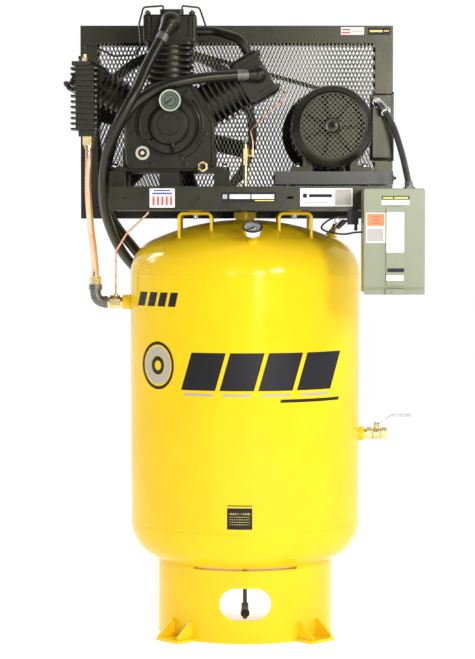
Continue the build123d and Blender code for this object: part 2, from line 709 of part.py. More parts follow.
def belts():
    """Three V belts, each swept once round both pulleys."""
    inset = BELT_DEPTH / 2
    r1, r2 = WHEEL_R - inset, SHEAVE_R - inset
    dx, dz = MOTOR_X - CRANK_X, MOTOR_Z - CRANK_Z
    lean = atan2(dz, dx)
    spread = acos((r1 - r2) / hypot(dx, dz))

    def on(x, z, radius, angle):
        return (x + radius * cos(angle), 0, z + radius * sin(angle))

    high, low = lean + spread, lean - spread
    a, b = on(CRANK_X, CRANK_Z, r1, high), on(MOTOR_X, MOTOR_Z, r2, high)
    c, d = on(MOTOR_X, MOTOR_Z, r2, low), on(CRANK_X, CRANK_Z, r1, low)
    right = on(MOTOR_X, MOTOR_Z, r2, lean)
    left = on(CRANK_X, CRANK_Z, r1, lean + pi)
    half_top = BELT_TOP / 2
    half_low = half_top - BELT_DEPTH * tan(radians(BELT_SIDE_DEG))
    section = make_face(
        Polyline((-half_top, inset), (half_top, inset), (half_low, -inset), (-half_low, -inset), close=True)
    )
    sides = [Line(a, b), ThreePointArc(b, right, c), Line(c, d), ThreePointArc(d, left, a)]
    path = Wire([side.edge() for side in sides])
    start = Plane(origin=a, x_dir=(0, 1, 0), z_dir=Vector(*b) - Vector(*a))
    loop = sweep(start * section, path=path)
    save("drive_belts", *[Pos(0, BELT_Y + k * GROOVE_PITCH, 0) * loop for k in (-1, 0, 1)])


# ---------------------------------------------------------------- motor


def motor_bolt_places():
    for x in (MOTOR_X - 108, MOTOR_X + 108):
        for y in (-190, 40):
            yield x, y


def motor():
    axis = (MOTOR_X, MOTOR_Z)
    frame = rod((axis[0], -225, axis[1]), (axis[0], MOTOR_BACK, axis[1]), MOTOR_R, 0)
    for k in range(36):
        fin = box((MOTOR_R - 4, 128), (-205, 95), (-2, 2))
        frame += Pos(axis[0], 0, axis[1]) * Rot(0, 10 * k, 0) * fin
    frame += rod((axis[0], 95, axis[1]), (axis[0], MOTOR_BACK, axis[1]), 124)
    frame += rod((axis[0], MOTOR_BACK, axis[1]), (axis[0], MOTOR_BACK + 18, axis[1]), 52)
    for side in (-1, 1):
        leg = box(sorted((side * 60, side * 128)), (-210, 65), (BASE_Z[1], BASE_Z[1] + 16))
        riser = box(sorted((side * 62, side * 84)), (-210, 65), (BASE_Z[1], MOTOR_Z - 60))
        frame += Pos(axis[0], 0, 0) * (leg + riser)
    frame += box((axis[0] + 90, 410), (-200, -90), (1604, 1724))
    frame -= rod((axis[0], -215, axis[1]), (axis[0], 108, axis[1]), 88)
    frame -= rod((axis[0], -230, axis[1]), (axis[0], 150, axis[1]), MOTOR_SHAFT_R + RUNNING)
    for x, y in motor_bolt_places():
        frame -= rod((x, y, 1500), (x, y, 1560), 5.5)
    save("motor_frame", frame)

    stator = rod((axis[0], -190, axis[1]), (axis[0], 85, axis[1]), 88, 60)
    rotor = rod((axis[0], -150, axis[1]), (axis[0], 60, axis[1]), 59)
    rotor += rod((axis[0], -272, axis[1]), (axis[0], 306, axis[1]), MOTOR_SHAFT_R)
    fan = rod((axis[0], -272, axis[1]), (axis[0], -240, axis[1]), 32)
    for k in range(7):
        blade = box((28, 100), (-270, -242), (-2, 2))
        fan += Pos(axis[0], 0, axis[1]) * Rot(0, 360 / 7 * k, 0) * blade
    save("motor_stator", stator)
    save("motor_rotor", rotor + fan)

    cover = lathe(
        [
            (128.5, -6), (131, -6), (131, 40), (126, 62), (112, 76), (101, 80), (101, 77),
            (111, 73), (123.5, 60), (128.5, 39),
        ],
        (axis[0], -220, axis[1]),
        (0, -1, 0),
    )
    for angle in (45, -45):
        for k in range(-8, 9):
            across = 11.6 * k
            half = sqrt(103**2 - across**2)
            wire = box((across - 1.25, across + 1.25), (-299, -296.5), (-half, half))
            cover += Pos(axis[0], 0, axis[1]) * Rot(0, angle, 0) * wire
    cover += rod((axis[0], -299.5, axis[1]), (axis[0], -296, axis[1]), 26)
    for k in range(4):
        turn = radians(45 + 90 * k)
        start = (axis[0] + 122 * cos(turn), -222, axis[1] + 122 * sin(turn))
        cover += rod(start, (start[0], -214, start[2]), 8)
    save("motor_fan_cover", cover)


def motor_base():
    """Slide base: a folded tray with the motor on top and adjusting screws at its right end."""
    x, y = (96, 477), (-215, 65)
    tray = box(x, y, (BASE_Z[1] - 5, BASE_Z[1]))
    for edge in (y[0], y[1] - 5):
        tray += box(x, (edge, edge + 5), BASE_Z)
    for edge_y in (y[0], y[1] - 60):
        tray += box(x, (edge_y, edge_y + 60), (DECK_TOP + 8, DECK_TOP + 13))
    for bx, by in base_bolt_places():
        tray += rod((bx, by, DECK_TOP), (bx, by, DECK_TOP + 10), 12)
        tray -= rod((bx, by, DECK_TOP - 1), (bx, by, DECK_TOP + 20), 5.5)
    for bx, by in motor_bolt_places():
        tray -= rod((bx, by, 1510), (bx, by, 1530), 5.5)
    for by in (-150, 0):
        tray += box((x[1] - 5, x[1]), (by - 30, by + 30), (BASE_Z[1] - 34, BASE_Z[1]))
        tray += rod((x[1] - 60, by, 1501), (x[1] + 14, by, 1501), 5)
        tray += hexagon((x[1], by, 1501), (x[1] + 7, by, 1501), 17)
    save("motor_slide_base", tray)


def conduit_box():
    outer = box((410, 471), (-226, -64), (1559, 1772))
    outer = fillet(outer.edges().filter_by(Axis.X), 8)
    outer -= box((414, 471), (-222, -68), (1563, 1768))
    lid = box((471, 477), (-230, -60), (1555, 1776))
    lid = fillet(lid.edges().filter_by(Axis.X), 8)
    save("motor_conduit_box", outer, lid)


# ---------------------------------------------------------------- guard


def guard():
    """Open box of sheet with mesh on its front and back, bolted to the platform's back rail."""
    outer = box(GUARD_X, GUARD_Y, GUARD_Z)
    inner = box(
        (GUARD_X[0] + 2, GUARD_X[1] - 2), (GUARD_Y[0] + 2, GUARD_Y[1] - 2), (GUARD_Z[0] + 2, GUARD_Z[1] - 2)
    )
    view = box(
        (GUARD_X[0] + GUARD_LIP, GUARD_X[1] - GUARD_LIP - 2),
        (GUARD_Y[0] - 5, GUARD_Y[1] + 5),
        (GUARD_Z[0] + GUARD_LIP, GUARD_Z[1] - GUARD_LIP),
    )
    save("guard_frame", outer - inner - view)
    sheets = []
    for y in (GUARD_Y[0] + 2, GUARD_Y[1] - 4):
        sheet = box(
            (GUARD_X[0] + GUARD_LIP - 14, GUARD_X[1] - GUARD_LIP + 12),
            (y, y + 2),
            (GUARD_Z[0] + GUARD_LIP - 14, GUARD_Z[1] - GUARD_LIP + 14),
        )
        sheets.append(sheet)
    sheets[0] -= rod((CRANK_X, 200, CRANK_Z), (CRANK_X, 215, CRANK_Z), 60)
    sheets[0] -= rod((MOTOR_X, 200, MOTOR_Z), (MOTOR_X, 215, MOTOR_Z), 45)
    save("guard_mesh", *sheets)


# ---------------------------------------------------------------- intake


def intake():
    """Collars on the two suction heads, and the silencer behind the receiver that their hoses meet."""
    high = rod(before(HOSE_HIGH, 26), HOSE_HIGH[0], 19, 14)
    side = rod(before(HOSE_LOW, 38), HOSE_LOW[0], 18, 14)
    knuckle = before(CONDUIT[::-1], 14)
    cable = rod(knuckle, CONDUIT[-1], 13) + Pos(*knuckle) * Sphere(13)
    cable -= box((480, 540), (-400, -340), (1440, STARTER_Z[1]))
    cable += hexagon((knuckle[0], knuckle[1], STARTER_Z[1]), (knuckle[0], knuckle[1], STARTER_Z[1] + 6), 32)
    corner = before(CONDUIT, 22)
    elbow = rod((corner[0], -226, corner[2]), corner, 13) + rod(corner, CONDUIT[0], 13)
    elbow += Pos(*corner) * Sphere(13)
    save("plated_fittings", high, side, cable, elbow, pipe_elbow())

    can_x, can_y = -10, 500
    can = lathe(
        [
            (0, 850), (78, 850), (90, 862), (90, 1158), (78, 1170), (0, 1170), (0, 1166),
            (76, 1166), (86, 1156), (86, 864), (76, 854), (0, 854),
        ],
        (can_x, can_y, 0),
    )
    space = Pos(can_x, can_y, 1010) * Cylinder(88, 280)
    for route in (HOSE_HIGH, HOSE_LOW):
        can += rod(route[-1], before(route[::-1], 75), 15, 12) - space
    for z in (930, 1084):
        can += box((can_x - 30, can_x + 30), (380, 414), (z, z + 6))
    can -= rod((0, 0, 800), (0, 0, 1180), TANK_R)
    save("intake_silencer", can)


def before(route, distance):
    """The point that far ahead of a route's start, in line with its first run."""
    first, second = Vector(*route[0]), Vector(*route[1])
    return tuple(first + (first - second).normalized() * distance)


HOSE_HIGH = [
    (-273, -235, 1938), (-314, -269, 1861), (-343, -318, 1778), (-382, -331, 1709), (-422, -295, 1637),
    (-449, -228, 1558), (-463, -138, 1478), (-465, -33, 1396), (-447, 75, 1322), (-421, 165, 1259),
    (-385, 255, 1208), (-345, 325, 1168), (-285, 395, 1135), (-215, 445, 1112), (-140, 470, 1102),
]
HOSE_LOW = [
    (-29, -240, 1828), (-97, -264, 1823), (-177, -284, 1811), (-252, -290, 1796), (-322, -286, 1760),
    (-370, -286, 1718), (-421, -253, 1640), (-447, -160, 1560), (-462, -60, 1479), (-464, 30, 1400),
    (-428, 120, 1333), (-365, 205, 1254), (-318, 285, 1174), (-265, 350, 1095), (-205, 400, 1030),
    (-140, 440, 990),
]
CONDUIT = [(441, -259, 1722), (468, -290, 1672), (486, -325, 1610), (502, -352, 1545), (513, -372, 1482)]


# ---------------------------------------------------------------- starter and controls


def starter():
    x, y, z = STARTER_X, STARTER_Y, STARTER_Z
    shell = fillet(box(x, y, z).edges().filter_by(Axis.Y), 5)
    shell -= box((x[0] + 2, x[1] - 2), (y[0] - 1, y[1] - 2), (z[0] + 2, z[1] - 2))
    shell += box((x[0] + 12, DECK_X[1] - 8), (y[1], FRONT_Y), (1402, 1460))
    shell -= rod((515, -376, 1440), (515, -376, 1480), 9)
    save("starter_enclosure", shell)

    skin = box((x[0] - 1, x[1] + 1), (COVER_Y, y[0] - 0.5), (z[0] - 5, z[1] - 3))
    skin = fillet(skin.edges().filter_by(Axis.Y), 5)
    skin -= box((x[0] + 1, x[1] - 1), (COVER_Y + 2, y[0]), (z[0] - 2, z[1] - 5))
    panel = fillet(box((437, 494), (COVER_Y - 6, COVER_Y + 1), (1160, 1404)).edges().filter_by(Axis.Y), 6)
    lip = box((435, 496), (COVER_Y - 10, COVER_Y), (z[0] - 5, z[0] + 12))
    screw = rod((458, COVER_Y - 10, z[0] + 4), (458, COVER_Y - 14, z[0] + 4), 5)
    hinge_pin = rod((x[0] + 6, y[0] - 1.5, z[1] - 3), (x[1] - 6, y[0] - 1.5, z[1] - 3), 1.2)
    save("starter_cover", skin + panel + lip + screw + hinge_pin)

    block = box((400, 500), (-400, y[1] - 2), (1240, 1400))
    block = chamfer(block.faces().sort_by(Axis.Y)[0].edges(), 12)
    for k in range(4):
        block -= box((408 + 24 * k, 422 + 24 * k), (-402, -360), (1372, 1402))
        block -= box((408 + 24 * k, 422 + 24 * k), (-402, -360), (1238, 1268))
    relay = box((410, 490), (-380, y[1] - 2), (1170, 1232)) - box((430, 470), (-382, -370), (1180, 1200))
    save("starter_contactor", block, relay)


CORD = [
    (327, -262, 1376), (298, -262, 1376), (270, -257, 1367), (247, -266, 1350), (241, -290, 1337),
    (257, -315, 1328), (288, -330, 1321), (320, -338, 1319), (347, -343, 1326), (369, -343, 1326),
]


def control_block():
    """Terminal block under the platform's front edge, with its toggle nub and a rubber plug on a stub."""
    block = box((327, 362), (-284, -246), (1350, 1396))
    block = fillet(block.edges().filter_by(Axis.Z), 4)
    nub = rod((354, -265, 1350), (354, -265, 1338), 5) + Pos(354, -265, 1336) * Sphere(6)
    plug = rod((327, -268, 1362), (316, -268, 1362), 4)
    plug += cone((318, -268, 1362), (294, -268, 1339), 9, 7)
    for y in (-272, -264):
        plug += rod((295, y, 1340), (284, y, 1335), 1.5)
    save("junction_block", block + nub, plug)


def pilot_valve():
    """Unloader valve that stands on the deck, with a toggle on top."""
    x, y = 1, -150
    profile = [(0, 0), (9, 0), (9, 12), (6, 14), (6, 30), (10, 32), (10, 44), (7, 46), (7, 71), (0, 71)]
    body = lathe(profile, (x, y, DECK_TOP))
    body += hexagon((x, y, DECK_TOP + 71), (x, y, DECK_TOP + 125), 22)
    body += rod((x, y, DECK_TOP + 125), (x, y, DECK_TOP + 138), 7)
    body += rod((x, y, 1574), (x + 24, y, 1574), 4.5) + rod((x + 24, y, 1570), (x + 24, y, 1592), 5)
    body -= rod((x, y, DECK_TOP + 130), (x, y, DECK_TOP + 140), 2.6)
    save("pilot_valve", body)
    toggle = rod((x, y, DECK_TOP + 131), (x, y, DECK_TOP + 150), 2.5)
    toggle += rod((x - 9, y, DECK_TOP + 150), (x + 9, y, DECK_TOP + 150), 3)
    toggle += Pos(x, y, DECK_TOP + 155) * Sphere(4.5)
    save("pilot_valve_toggle", toggle)


def small_lines():
    """Bent copper and black lines of the unloader, and the pipe between the stages."""
    signal = [(-430, 0, 1121), (-430, 0, 1262), (-391, -35, 1322), (-315, -90, 1391)]
    unload = [
        (25, -150, 1592), (25, -150, 1622), (17, -162, 1655), (52, -195, 1688), (97, -208, 1729),
        (122, -212, 1750), (132, -195, 1778), (111, -185, 1790),
    ]
    save("copper_lines", tube(signal, 3, [12, 40]), tube(unload, 3, [14] * 6))
    left = [
        (-268, -80, 2051), (-268, -80, 2066), (-332, -110, 2058), (-344, -150, 2000), (-336, -190, 1935),
        (-352, -215, 1895), (-420, -215, 1890), (-490, -205, 1925), (-516, -200, 1930), (-516, -200, 1898),
    ]
    right = [
        (-206, -80, 2051), (-206, -80, 2066), (-150, -60, 2062), (-128, -40, 2000),
        (-130, -40, 1957), (-158, -40, 1957),
    ]
    left_line = tube(left, 3, [5, 18, 30, 14, 14, 18, 12, 10])
    save("black_air_lines", left_line, tube(right, 3, [5, 14, 24, 8]), stage_pipe())


def stage_pipe():
    """The pipe from the centre head's right face to the right head's upper face."""
    face, off_face = [(pump_place(BANK, -100) * Pos(x, 0, 340)).position for x in (-77, -137)]
    return tube([(-158, -60, 1985), (-100, -60, 1985), tuple(off_face), tuple(face)], 15, [40, 50])


def main():
    os.makedirs("parts", exist_ok=True)
    body = tank_body()
    receiver(body)
    couplings(body)
    hoops(body)
    drain()
    outlet_valve()
    dial_gauge("tank_gauge", point_on(GAUGE_SEAT, GAUGE_AXIS, 14), GAUGE_AXIS, 26, 32, 24)
    dial_gauge("oil_gauge", (-239, CASE_Y[0] - 16, 1743), (0, -1, 0), 32, 34, 24)
    safety_valve()
    discharge_line()
    save("aftercooler", aftercooler())
    platform()
    fasteners()
    crankcase()
    front_cover()
    for args in CYLINDERS:
        cylinder(*args)
        piston(*args)
    heads()
    crank()
    flywheel()
    sheave()
    belts()
    motor()
    motor_base()
    conduit_box()
    guard()
    intake()
    cord("intake_hose_high", HOSE_HIGH, 17)
    cord("intake_hose_low", HOSE_LOW, 17)
    cord("motor_conduit", CONDUIT, 10)
    cord("control_cord", CORD, 3)
    starter()
    control_block()
    pilot_valve()
    small_lines()


main()
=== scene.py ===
import json
import math

import bpy
from mathutils import Matrix, Vector


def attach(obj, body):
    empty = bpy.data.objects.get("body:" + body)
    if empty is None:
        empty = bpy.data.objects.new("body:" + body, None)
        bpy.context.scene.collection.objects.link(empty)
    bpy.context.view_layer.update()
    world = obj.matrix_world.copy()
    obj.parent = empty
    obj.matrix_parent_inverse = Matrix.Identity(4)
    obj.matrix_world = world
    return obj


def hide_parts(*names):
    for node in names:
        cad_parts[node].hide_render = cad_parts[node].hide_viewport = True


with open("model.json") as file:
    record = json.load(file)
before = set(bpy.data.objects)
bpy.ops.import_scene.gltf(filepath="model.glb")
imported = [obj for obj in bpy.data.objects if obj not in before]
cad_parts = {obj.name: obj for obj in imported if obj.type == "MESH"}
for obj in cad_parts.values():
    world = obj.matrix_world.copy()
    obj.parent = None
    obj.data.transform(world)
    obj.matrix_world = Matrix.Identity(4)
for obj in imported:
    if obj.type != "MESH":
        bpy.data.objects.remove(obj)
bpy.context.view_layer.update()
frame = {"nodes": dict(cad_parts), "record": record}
NODES = frame["nodes"]
MM = 0.001
WELD = 0.00002
SHARP = math.radians(38)
BEVEL_FROM = math.radians(40)
FRONTWARD, UPWARD = (0, -1, 0), (0, 0, 1)

# Places that several sections share, in millimetres.
CRANK_X, CRANK_Z = -244, 1669
CASE_FRONT = -250
MOTOR_X, MOTOR_Z = 278, 1664
FAN_COVER_FRONT = -299.5
OIL_GAUGE = (-239, -298, 1743)
TANK_GAUGE_AXIS = Vector((0, -0.53, 0.848)).normalized()
TANK_GAUGE = Vector((23, -316, 1290)) + TANK_GAUGE_AXIS * 40
SIGHT_GLASS = (-329, CASE_FRONT, 1579)
OIL_DRAIN = (-136, -280, 1535)
TANK_SHELL_R = 380.6
SILENCER_X, SILENCER_Y = -10, 500

# ---------------------------------------------------------------- materials

OLIVE = (1.0, 0.98, 0.72)
GRAIN_HEIGHT = 0.0006
# How far the painted shade in the hollows reaches, in metres.
HOLLOW_SHADE_REACH = 0.02


def material(
    name, light, dark, rough=(0.3, 0.4), metal=0.0,
    grain=(900, 0.1), mottle=9, hollow_shade=None, tint=None, level=0.5,
):
    """A Principled material: two tones in soft patches, uneven gloss and a fine grain in the bump.

    grain is (scale per metre, strength). The (colour, amount) pair for the hollows paints shade there:
    ambient occlusion darkens the colour.
    tint colours the gloss, and level is its strength.
    """
    made = bpy.data.materials.new(name)
    made.use_nodes = True
    nodes, link = made.node_tree.nodes, made.node_tree.links.new
    shader = nodes["Principled BSDF"]
    place = nodes.new("ShaderNodeTexCoord").outputs["Object"]

    def noise(scale, detail=4.0):
        node = nodes.new("ShaderNodeTexNoise")
        node.inputs["Scale"].default_value = scale
        node.inputs["Detail"].default_value = detail
        link(place, node.inputs["Vector"])
        return node.outputs["Fac"]

    ramp = nodes.new("ShaderNodeValToRGB")
    ramp.color_ramp.elements[0].position = 0.35
    ramp.color_ramp.elements[1].position = 0.65
    ramp.color_ramp.elements[0].color = (*dark, 1)
    ramp.color_ramp.elements[1].color = (*light, 1)
    link(noise(mottle), ramp.inputs["Fac"])
    colour = ramp.outputs["Color"]
    # Painted shade: ambient occlusion darkens the colour in the hollows.
    if hollow_shade:
        hollow = nodes.new("ShaderNodeAmbientOcclusion")
        hollow.samples = 4
        hollow.inputs["Distance"].default_value = HOLLOW_SHADE_REACH
        mix = nodes.new("ShaderNodeMix")
        mix.data_type = "RGBA"
        amount = nodes.new("ShaderNodeMapRange")
        amount.inputs["From Min"].default_value = 0.75
        amount.inputs["From Max"].default_value = 0.25
        amount.inputs["To Max"].default_value = hollow_shade[1]
        link(hollow.outputs["AO"], amount.inputs["Value"])
        link(amount.outputs["Result"], mix.inputs["Factor"])
        link(colour, mix.inputs["A"])
        mix.inputs["B"].default_value = (*hollow_shade[0], 1)
        colour = mix.outputs["Result"]
    link(colour, shader.inputs["Base Color"])
    gloss = nodes.new("ShaderNodeMapRange")
    gloss.inputs["To Min"].default_value = rough[0]
    gloss.inputs["To Max"].default_value = rough[1]
    gloss.inputs["From Min"].default_value = 0.3
    gloss.inputs["From Max"].default_value = 0.7
    link(noise(mottle * 7), gloss.inputs["Value"])
    link(gloss.outputs["Result"], shader.inputs["Roughness"])
    bump = nodes.new("ShaderNodeBump")
    bump.inputs["Strength"].default_value = grain[1]
    bump.inputs["Distance"].default_value = GRAIN_HEIGHT
    link(noise(grain[0], 6.0), bump.inputs["Height"])
    link(bump.outputs["Normal"], shader.inputs["Normal"])
    shader.inputs["Metallic"].default_value = metal
    shader.inputs["Specular IOR Level"].default_value = level
    if tint:
        shader.inputs["Specular Tint"].default_value = (*tint, 1)
    return made


YELLOW = material(
    "yellow paint", (0.84, 0.560, 0.012), (0.81, 0.530, 0.010), (0.12, 0.16), grain=(420, 0.04), level=0.20,
)
GUARD = material(
    "black sheet paint", (0.0105, 0.0100, 0.0075), (0.0082, 0.0078, 0.0060), (0.26, 0.32),
    grain=(700, 0.03), mottle=4, tint=OLIVE, level=0.6,
)
# The casting's colour carries painted shade in its hollows.
PUMP = material(
    "black casting paint", (0.0095, 0.0090, 0.0070), (0.0060, 0.0056, 0.0046), (0.28, 0.42),
    grain=(260, 0.6), mottle=16, hollow_shade=((0.002, 0.002, 0.0018), 0.8), tint=OLIVE, level=0.34,
)
MOTOR = material(
    "black motor paint", (0.0085, 0.0078, 0.0065), (0.0062, 0.0057, 0.0050), (0.26, 0.34),
    grain=(500, 0.2), mottle=12, tint=OLIVE, level=0.45,
)
# The slide base's black paint is lightened: painted sheen for the light it catches.
BASE = material(
    "slide base paint with painted sheen", (0.050, 0.049, 0.035), (0.040, 0.039, 0.028), (0.28, 0.34),
    grain=(700, 0.08), mottle=4,
)
# The grille's paler tone is painted sheen: the drum's black paint, lightened for the light the wires catch.
GRILLE = material(
    "grille paint with painted sheen", (0.062, 0.060, 0.042), (0.050, 0.048, 0.034), (0.30, 0.40), grain=(900, 0.1), mottle=30,
)
GREEN = material(
    "grey-green enamel", (0.245, 0.262, 0.170), (0.225, 0.242, 0.156), (0.29, 0.33),
    grain=(600, 0.06), mottle=3, level=0.4,
)
BRASS = material(
    "brass", (0.90, 0.74, 0.38), (0.76, 0.58, 0.26), (0.22, 0.32), 0.85, grain=(1500, 0.06), mottle=30,
)
COPPER = material(
    "copper", (0.95, 0.60, 0.42), (0.86, 0.47, 0.30), (0.20, 0.28), 0.8, grain=(900, 0.03), mottle=14,
)
ZINC = material(
    "zinc plate", (0.80, 0.79, 0.73), (0.66, 0.65, 0.59), (0.20, 0.34), 0.8, grain=(1800, 0.12), mottle=50,
)
GALVANISED = material(
    "grey iron fitting", (0.20, 0.19, 0.17), (0.12, 0.115, 0.10), (0.34, 0.48), 0.6,
    grain=(700, 0.35), mottle=40,
)
CHROME = material(
    "chrome", (0.82, 0.82, 0.80), (0.74, 0.74, 0.72), (0.08, 0.14), 1.0, grain=(2500, 0.03), mottle=30,
)
STEEL = material(
    "machined steel", (0.52, 0.51, 0.49), (0.40, 0.39, 0.37), (0.24, 0.36), 1.0,
    grain=(2200, 0.15), mottle=30,
)
ALUMINIUM = material(
    "cast aluminium", (0.72, 0.72, 0.71), (0.58, 0.58, 0.57), (0.34, 0.50), 1.0, grain=(900, 0.3), mottle=30,
)
RUBBER = material(
    "black rubber", (0.0090, 0.0085, 0.0072), (0.0060, 0.0056, 0.0048), (0.28, 0.38),
    grain=(1100, 0.2), mottle=30, tint=OLIVE, level=0.45,
)
CONDUIT_GREY = material(
    "grey conduit", (0.045, 0.042, 0.034), (0.033, 0.031, 0.025), (0.30, 0.40), grain=(900, 0.2), mottle=30,
)
PLASTIC = material(
    "black plastic", (0.020, 0.020, 0.020), (0.014, 0.014, 0.014), (0.30, 0.42), grain=(2000, 0.2), mottle=40,
)
FAN = material(
    "fan plastic", (0.004, 0.004, 0.0035), (0.003, 0.003, 0.0028), (0.5, 0.6),
    grain=(900, 0.2), mottle=30, level=0.15,
)
COPPER_WIRE = material(
    "winding copper", (0.55, 0.24, 0.10), (0.42, 0.17, 0.07), (0.35, 0.5), 1.0, grain=(1200, 0.6), mottle=60,
)
GLASS = material(
    "gauge glass", (0.03, 0.03, 0.03), (0.02, 0.02, 0.02), (0.03, 0.06), grain=(900, 0.005), mottle=30,
)
GLASS.node_tree.nodes["Principled BSDF"].inputs["Alpha"].default_value = 0.12  # nearly clear


def card(name, colour, rough=0.4):
    """A printed card or smooth enamel of nearly one tone."""
    tone = tuple(c * 0.93 for c in colour)
    return material(name, colour, tone, (rough, rough + 0.1), grain=(2500, 0.08), mottle=60)


WHITE_CARD = card("white card", (0.80, 0.79, 0.74))
ORANGE_CARD = card("orange card", (0.82, 0.22, 0.07))
RED_CARD = card("red card", (0.62, 0.06, 0.06))
BLUE_CARD = card("blue card", (0.08, 0.07, 0.32))
GREY_CARD = card("grey card", (0.42, 0.38, 0.35))
YELLOW_CARD = card("yellow card", (0.80, 0.66, 0.10))
BLACK_CARD = card("black card", (0.012, 0.011, 0.014))
BLACK_CARD.node_tree.nodes["Principled BSDF"].inputs["Specular IOR Level"].default_value = 0.25
DIAL_CARD = card("dial card", (0.150, 0.205, 0.155))
DIAL_INK = card("dial ink", (0.016, 0.045, 0.032))
BEZEL = card("pale bezel", (0.44, 0.45, 0.36), 0.2)

BY_SLOT = {
    "yellow_paint": YELLOW, "black_paint": GUARD, "pump_black": PUMP, "starter_paint": GREEN, "brass": BRASS,
    "copper": COPPER, "zinc": ZINC, "galvanised": GALVANISED, "chrome": CHROME, "steel": STEEL,
    "aluminium": ALUMINIUM, "rubber": RUBBER, "grey_conduit": CONDUIT_GREY, "black_plastic": PLASTIC,
}
BY_NODE = {"motor_slide_base": BASE, "motor_stator": COPPER_WIRE, "motor_frame": MOTOR}
SLOT_OF = {part["node"]: part["material_slot"] for part in frame["record"]["subparts"]}
for node_name, node in NODES.items():
    finish = BY_NODE.get(node_name) or BY_SLOT[SLOT_OF[node_name]]
    for place in node.material_slots:
        place.material = finish

# ---------------------------------------------------------------- building in millimetres


class Build:
    """Gathers simple forms, in millimetres, into one mesh."""

    def __init__(self):
        self.verts, self.faces = [], []

    def add(self, verts, faces):
        first = len(self.verts)
        self.verts += [tuple(v) for v in verts]
        self.faces += [tuple(first + i for i in f) for f in faces]
        return self

    def box(self, x, y, z, at=None):
        """A box between pairs of limits, set down by a matrix if one is given."""
        corners = [Vector((a, b, c)) for a in x for b in y for c in z]
        if at is not None:
            corners = [at @ v for v in corners]
        sides = [(0, 1, 3, 2), (4, 6, 7, 5), (0, 4, 5, 1), (2, 3, 7, 6), (0, 2, 6, 4), (1, 5, 7, 3)]
        return self.add(corners, sides)

    def lathe(self, profile, origin, axis, sides=32):
        """Turns (radius, height) points round an axis. Ends with radius 0 close to a point."""
        turn = Vector(axis).to_track_quat("Z", "Y").to_matrix()
        verts, faces = [], []
        for r, h in profile:
            for k in range(sides):
                a = 2 * math.pi * k / sides
                verts.append(Vector(origin) + turn @ Vector((r * math.cos(a), r * math.sin(a), h)))
        for i in range(len(profile) - 1):
            for k in range(sides):
                n = (k + 1) % sides
                faces.append((i * sides + k, i * sides + n, (i + 1) * sides + n, (i + 1) * sides + k))
        return self.add(verts, faces)

    def rod(self, start, end, radius, sides=16, ease=0.0):
        """A closed rod or, with few sides, a prism. Its ends are chamfered by ease."""
        start, end = Vector(start), Vector(end)
        length = (end - start).length
        ease = min(ease, radius * 0.9, length / 2.1)
        inner = radius - ease
        profile = [(0, 0), (inner, 0), (radius, ease), (radius, length - ease), (inner, length), (0, length)]
        if not ease:
            profile = [(0, 0), (radius, 0), (radius, length), (0, length)]
        return self.lathe(profile, start, end - start, sides)

    def ring(self, centre, axis, major, minor, sides=48, rounds=8):
        """A torus: a bead, a wire ring or a weld."""
        loop = [
            (major + minor * math.cos(2 * math.pi * k / rounds), minor * math.sin(2 * math.pi * k / rounds))
            for k in range(rounds)
        ]
        return self.lathe(loop + loop[:1], centre, axis, sides)

    def sweep(self, points, radius, sides=10, closed=False):
        """A round tube along points, its section turned as little as possible. radius may be a function."""
        points = [Vector(p) for p in points]
        count = len(points)
        verts, faces = [], []
        up = None
        for i, p in enumerate(points):
            ahead = points[(i + 1) % count] if closed or i < count - 1 else p
            behind = points[i - 1] if closed or i else p
            way = (ahead - behind).normalized()
            if up is None:
                up = way.orthogonal().normalized()
            up = (up - way * up.dot(way)).normalized()
            side = way.cross(up)
            size = radius(i) if callable(radius) else radius
            for k in range(sides):
                a = 2 * math.pi * k / sides
                verts.append(p + up * size * math.cos(a) + side * size * math.sin(a))
        last = count if closed else count - 1
        for i in range(last):
            j = (i + 1) % count
            for k in range(sides):
                n = (k + 1) % sides
                faces.append((i * sides + k, i * sides + n, j * sides + n, j * sides + k))
        if not closed:
            faces += [tuple(range(sides))[::-1], tuple(range((count - 1) * sides, count * sides))]
        return self.add(verts, faces)

    def done(self, name, finish, slot, body="frame", smooth=True, replaces=()):
        """Makes the object, in metres, and declares what it rides on and what it replaces. slot is not used.
        """
        mesh = bpy.data.meshes.new(name)
        mesh.from_pydata([tuple(c * MM for c in v) for v in self.verts], [], self.faces)
        mesh.materials.append(finish)
        obj = bpy.data.objects.new(name, mesh)
        bpy.context.scene.collection.objects.link(obj)
        weld = obj.modifiers.new("weld", "WELD")
        weld.merge_threshold = WELD
        if smooth:
            mesh.polygons.foreach_set("use_smooth", [True] * len(mesh.polygons))
            mesh.set_sharp_from_angle(angle=SHARP)
        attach(obj, body)
        if replaces:
            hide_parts(*replaces)
        return obj


# ---------------------------------------------------------------- hoses, conduit and cord

HOSE_HIGH = [
    (-273, -235, 1938), (-314, -269, 1861), (-343, -318, 1778), (-382, -331, 1709), (-422, -295, 1637),
    (-449, -228, 1558), (-463, -138, 1478), (-465, -33, 1396), (-447, 75, 1322), (-421, 165, 1259),
    (-385, 255, 1208), (-345, 325, 1168), (-285, 395, 1135), (-215, 445, 1112), (-140, 470, 1102),
]
HOSE_LOW = [
    (-29, -240, 1828), (-97, -264, 1823), (-177, -284, 1811), (-252, -290, 1796), (-322, -286, 1760),
    (-370, -286, 1718), (-421, -253, 1640), (-447, -160, 1560), (-462, -60, 1479), (-464, 30, 1400),
    (-428, 120, 1333), (-365, 205, 1254), (-318, 285, 1174), (-265, 350, 1095), (-205, 400, 1030),
    (-140, 440, 990),
]
CONDUIT = [(441, -259, 1722), (468, -290, 1672), (486, -325, 1610), (502, -352, 1545), (513, -372, 1482)]
CORD = [
    (327, -262, 1376), (298, -262, 1376), (270, -257, 1367), (247, -266, 1350), (241, -290, 1337),
    (257, -315, 1328), (288, -330, 1321), (320, -338, 1319), (347, -343, 1326), (369, -343, 1326),
]


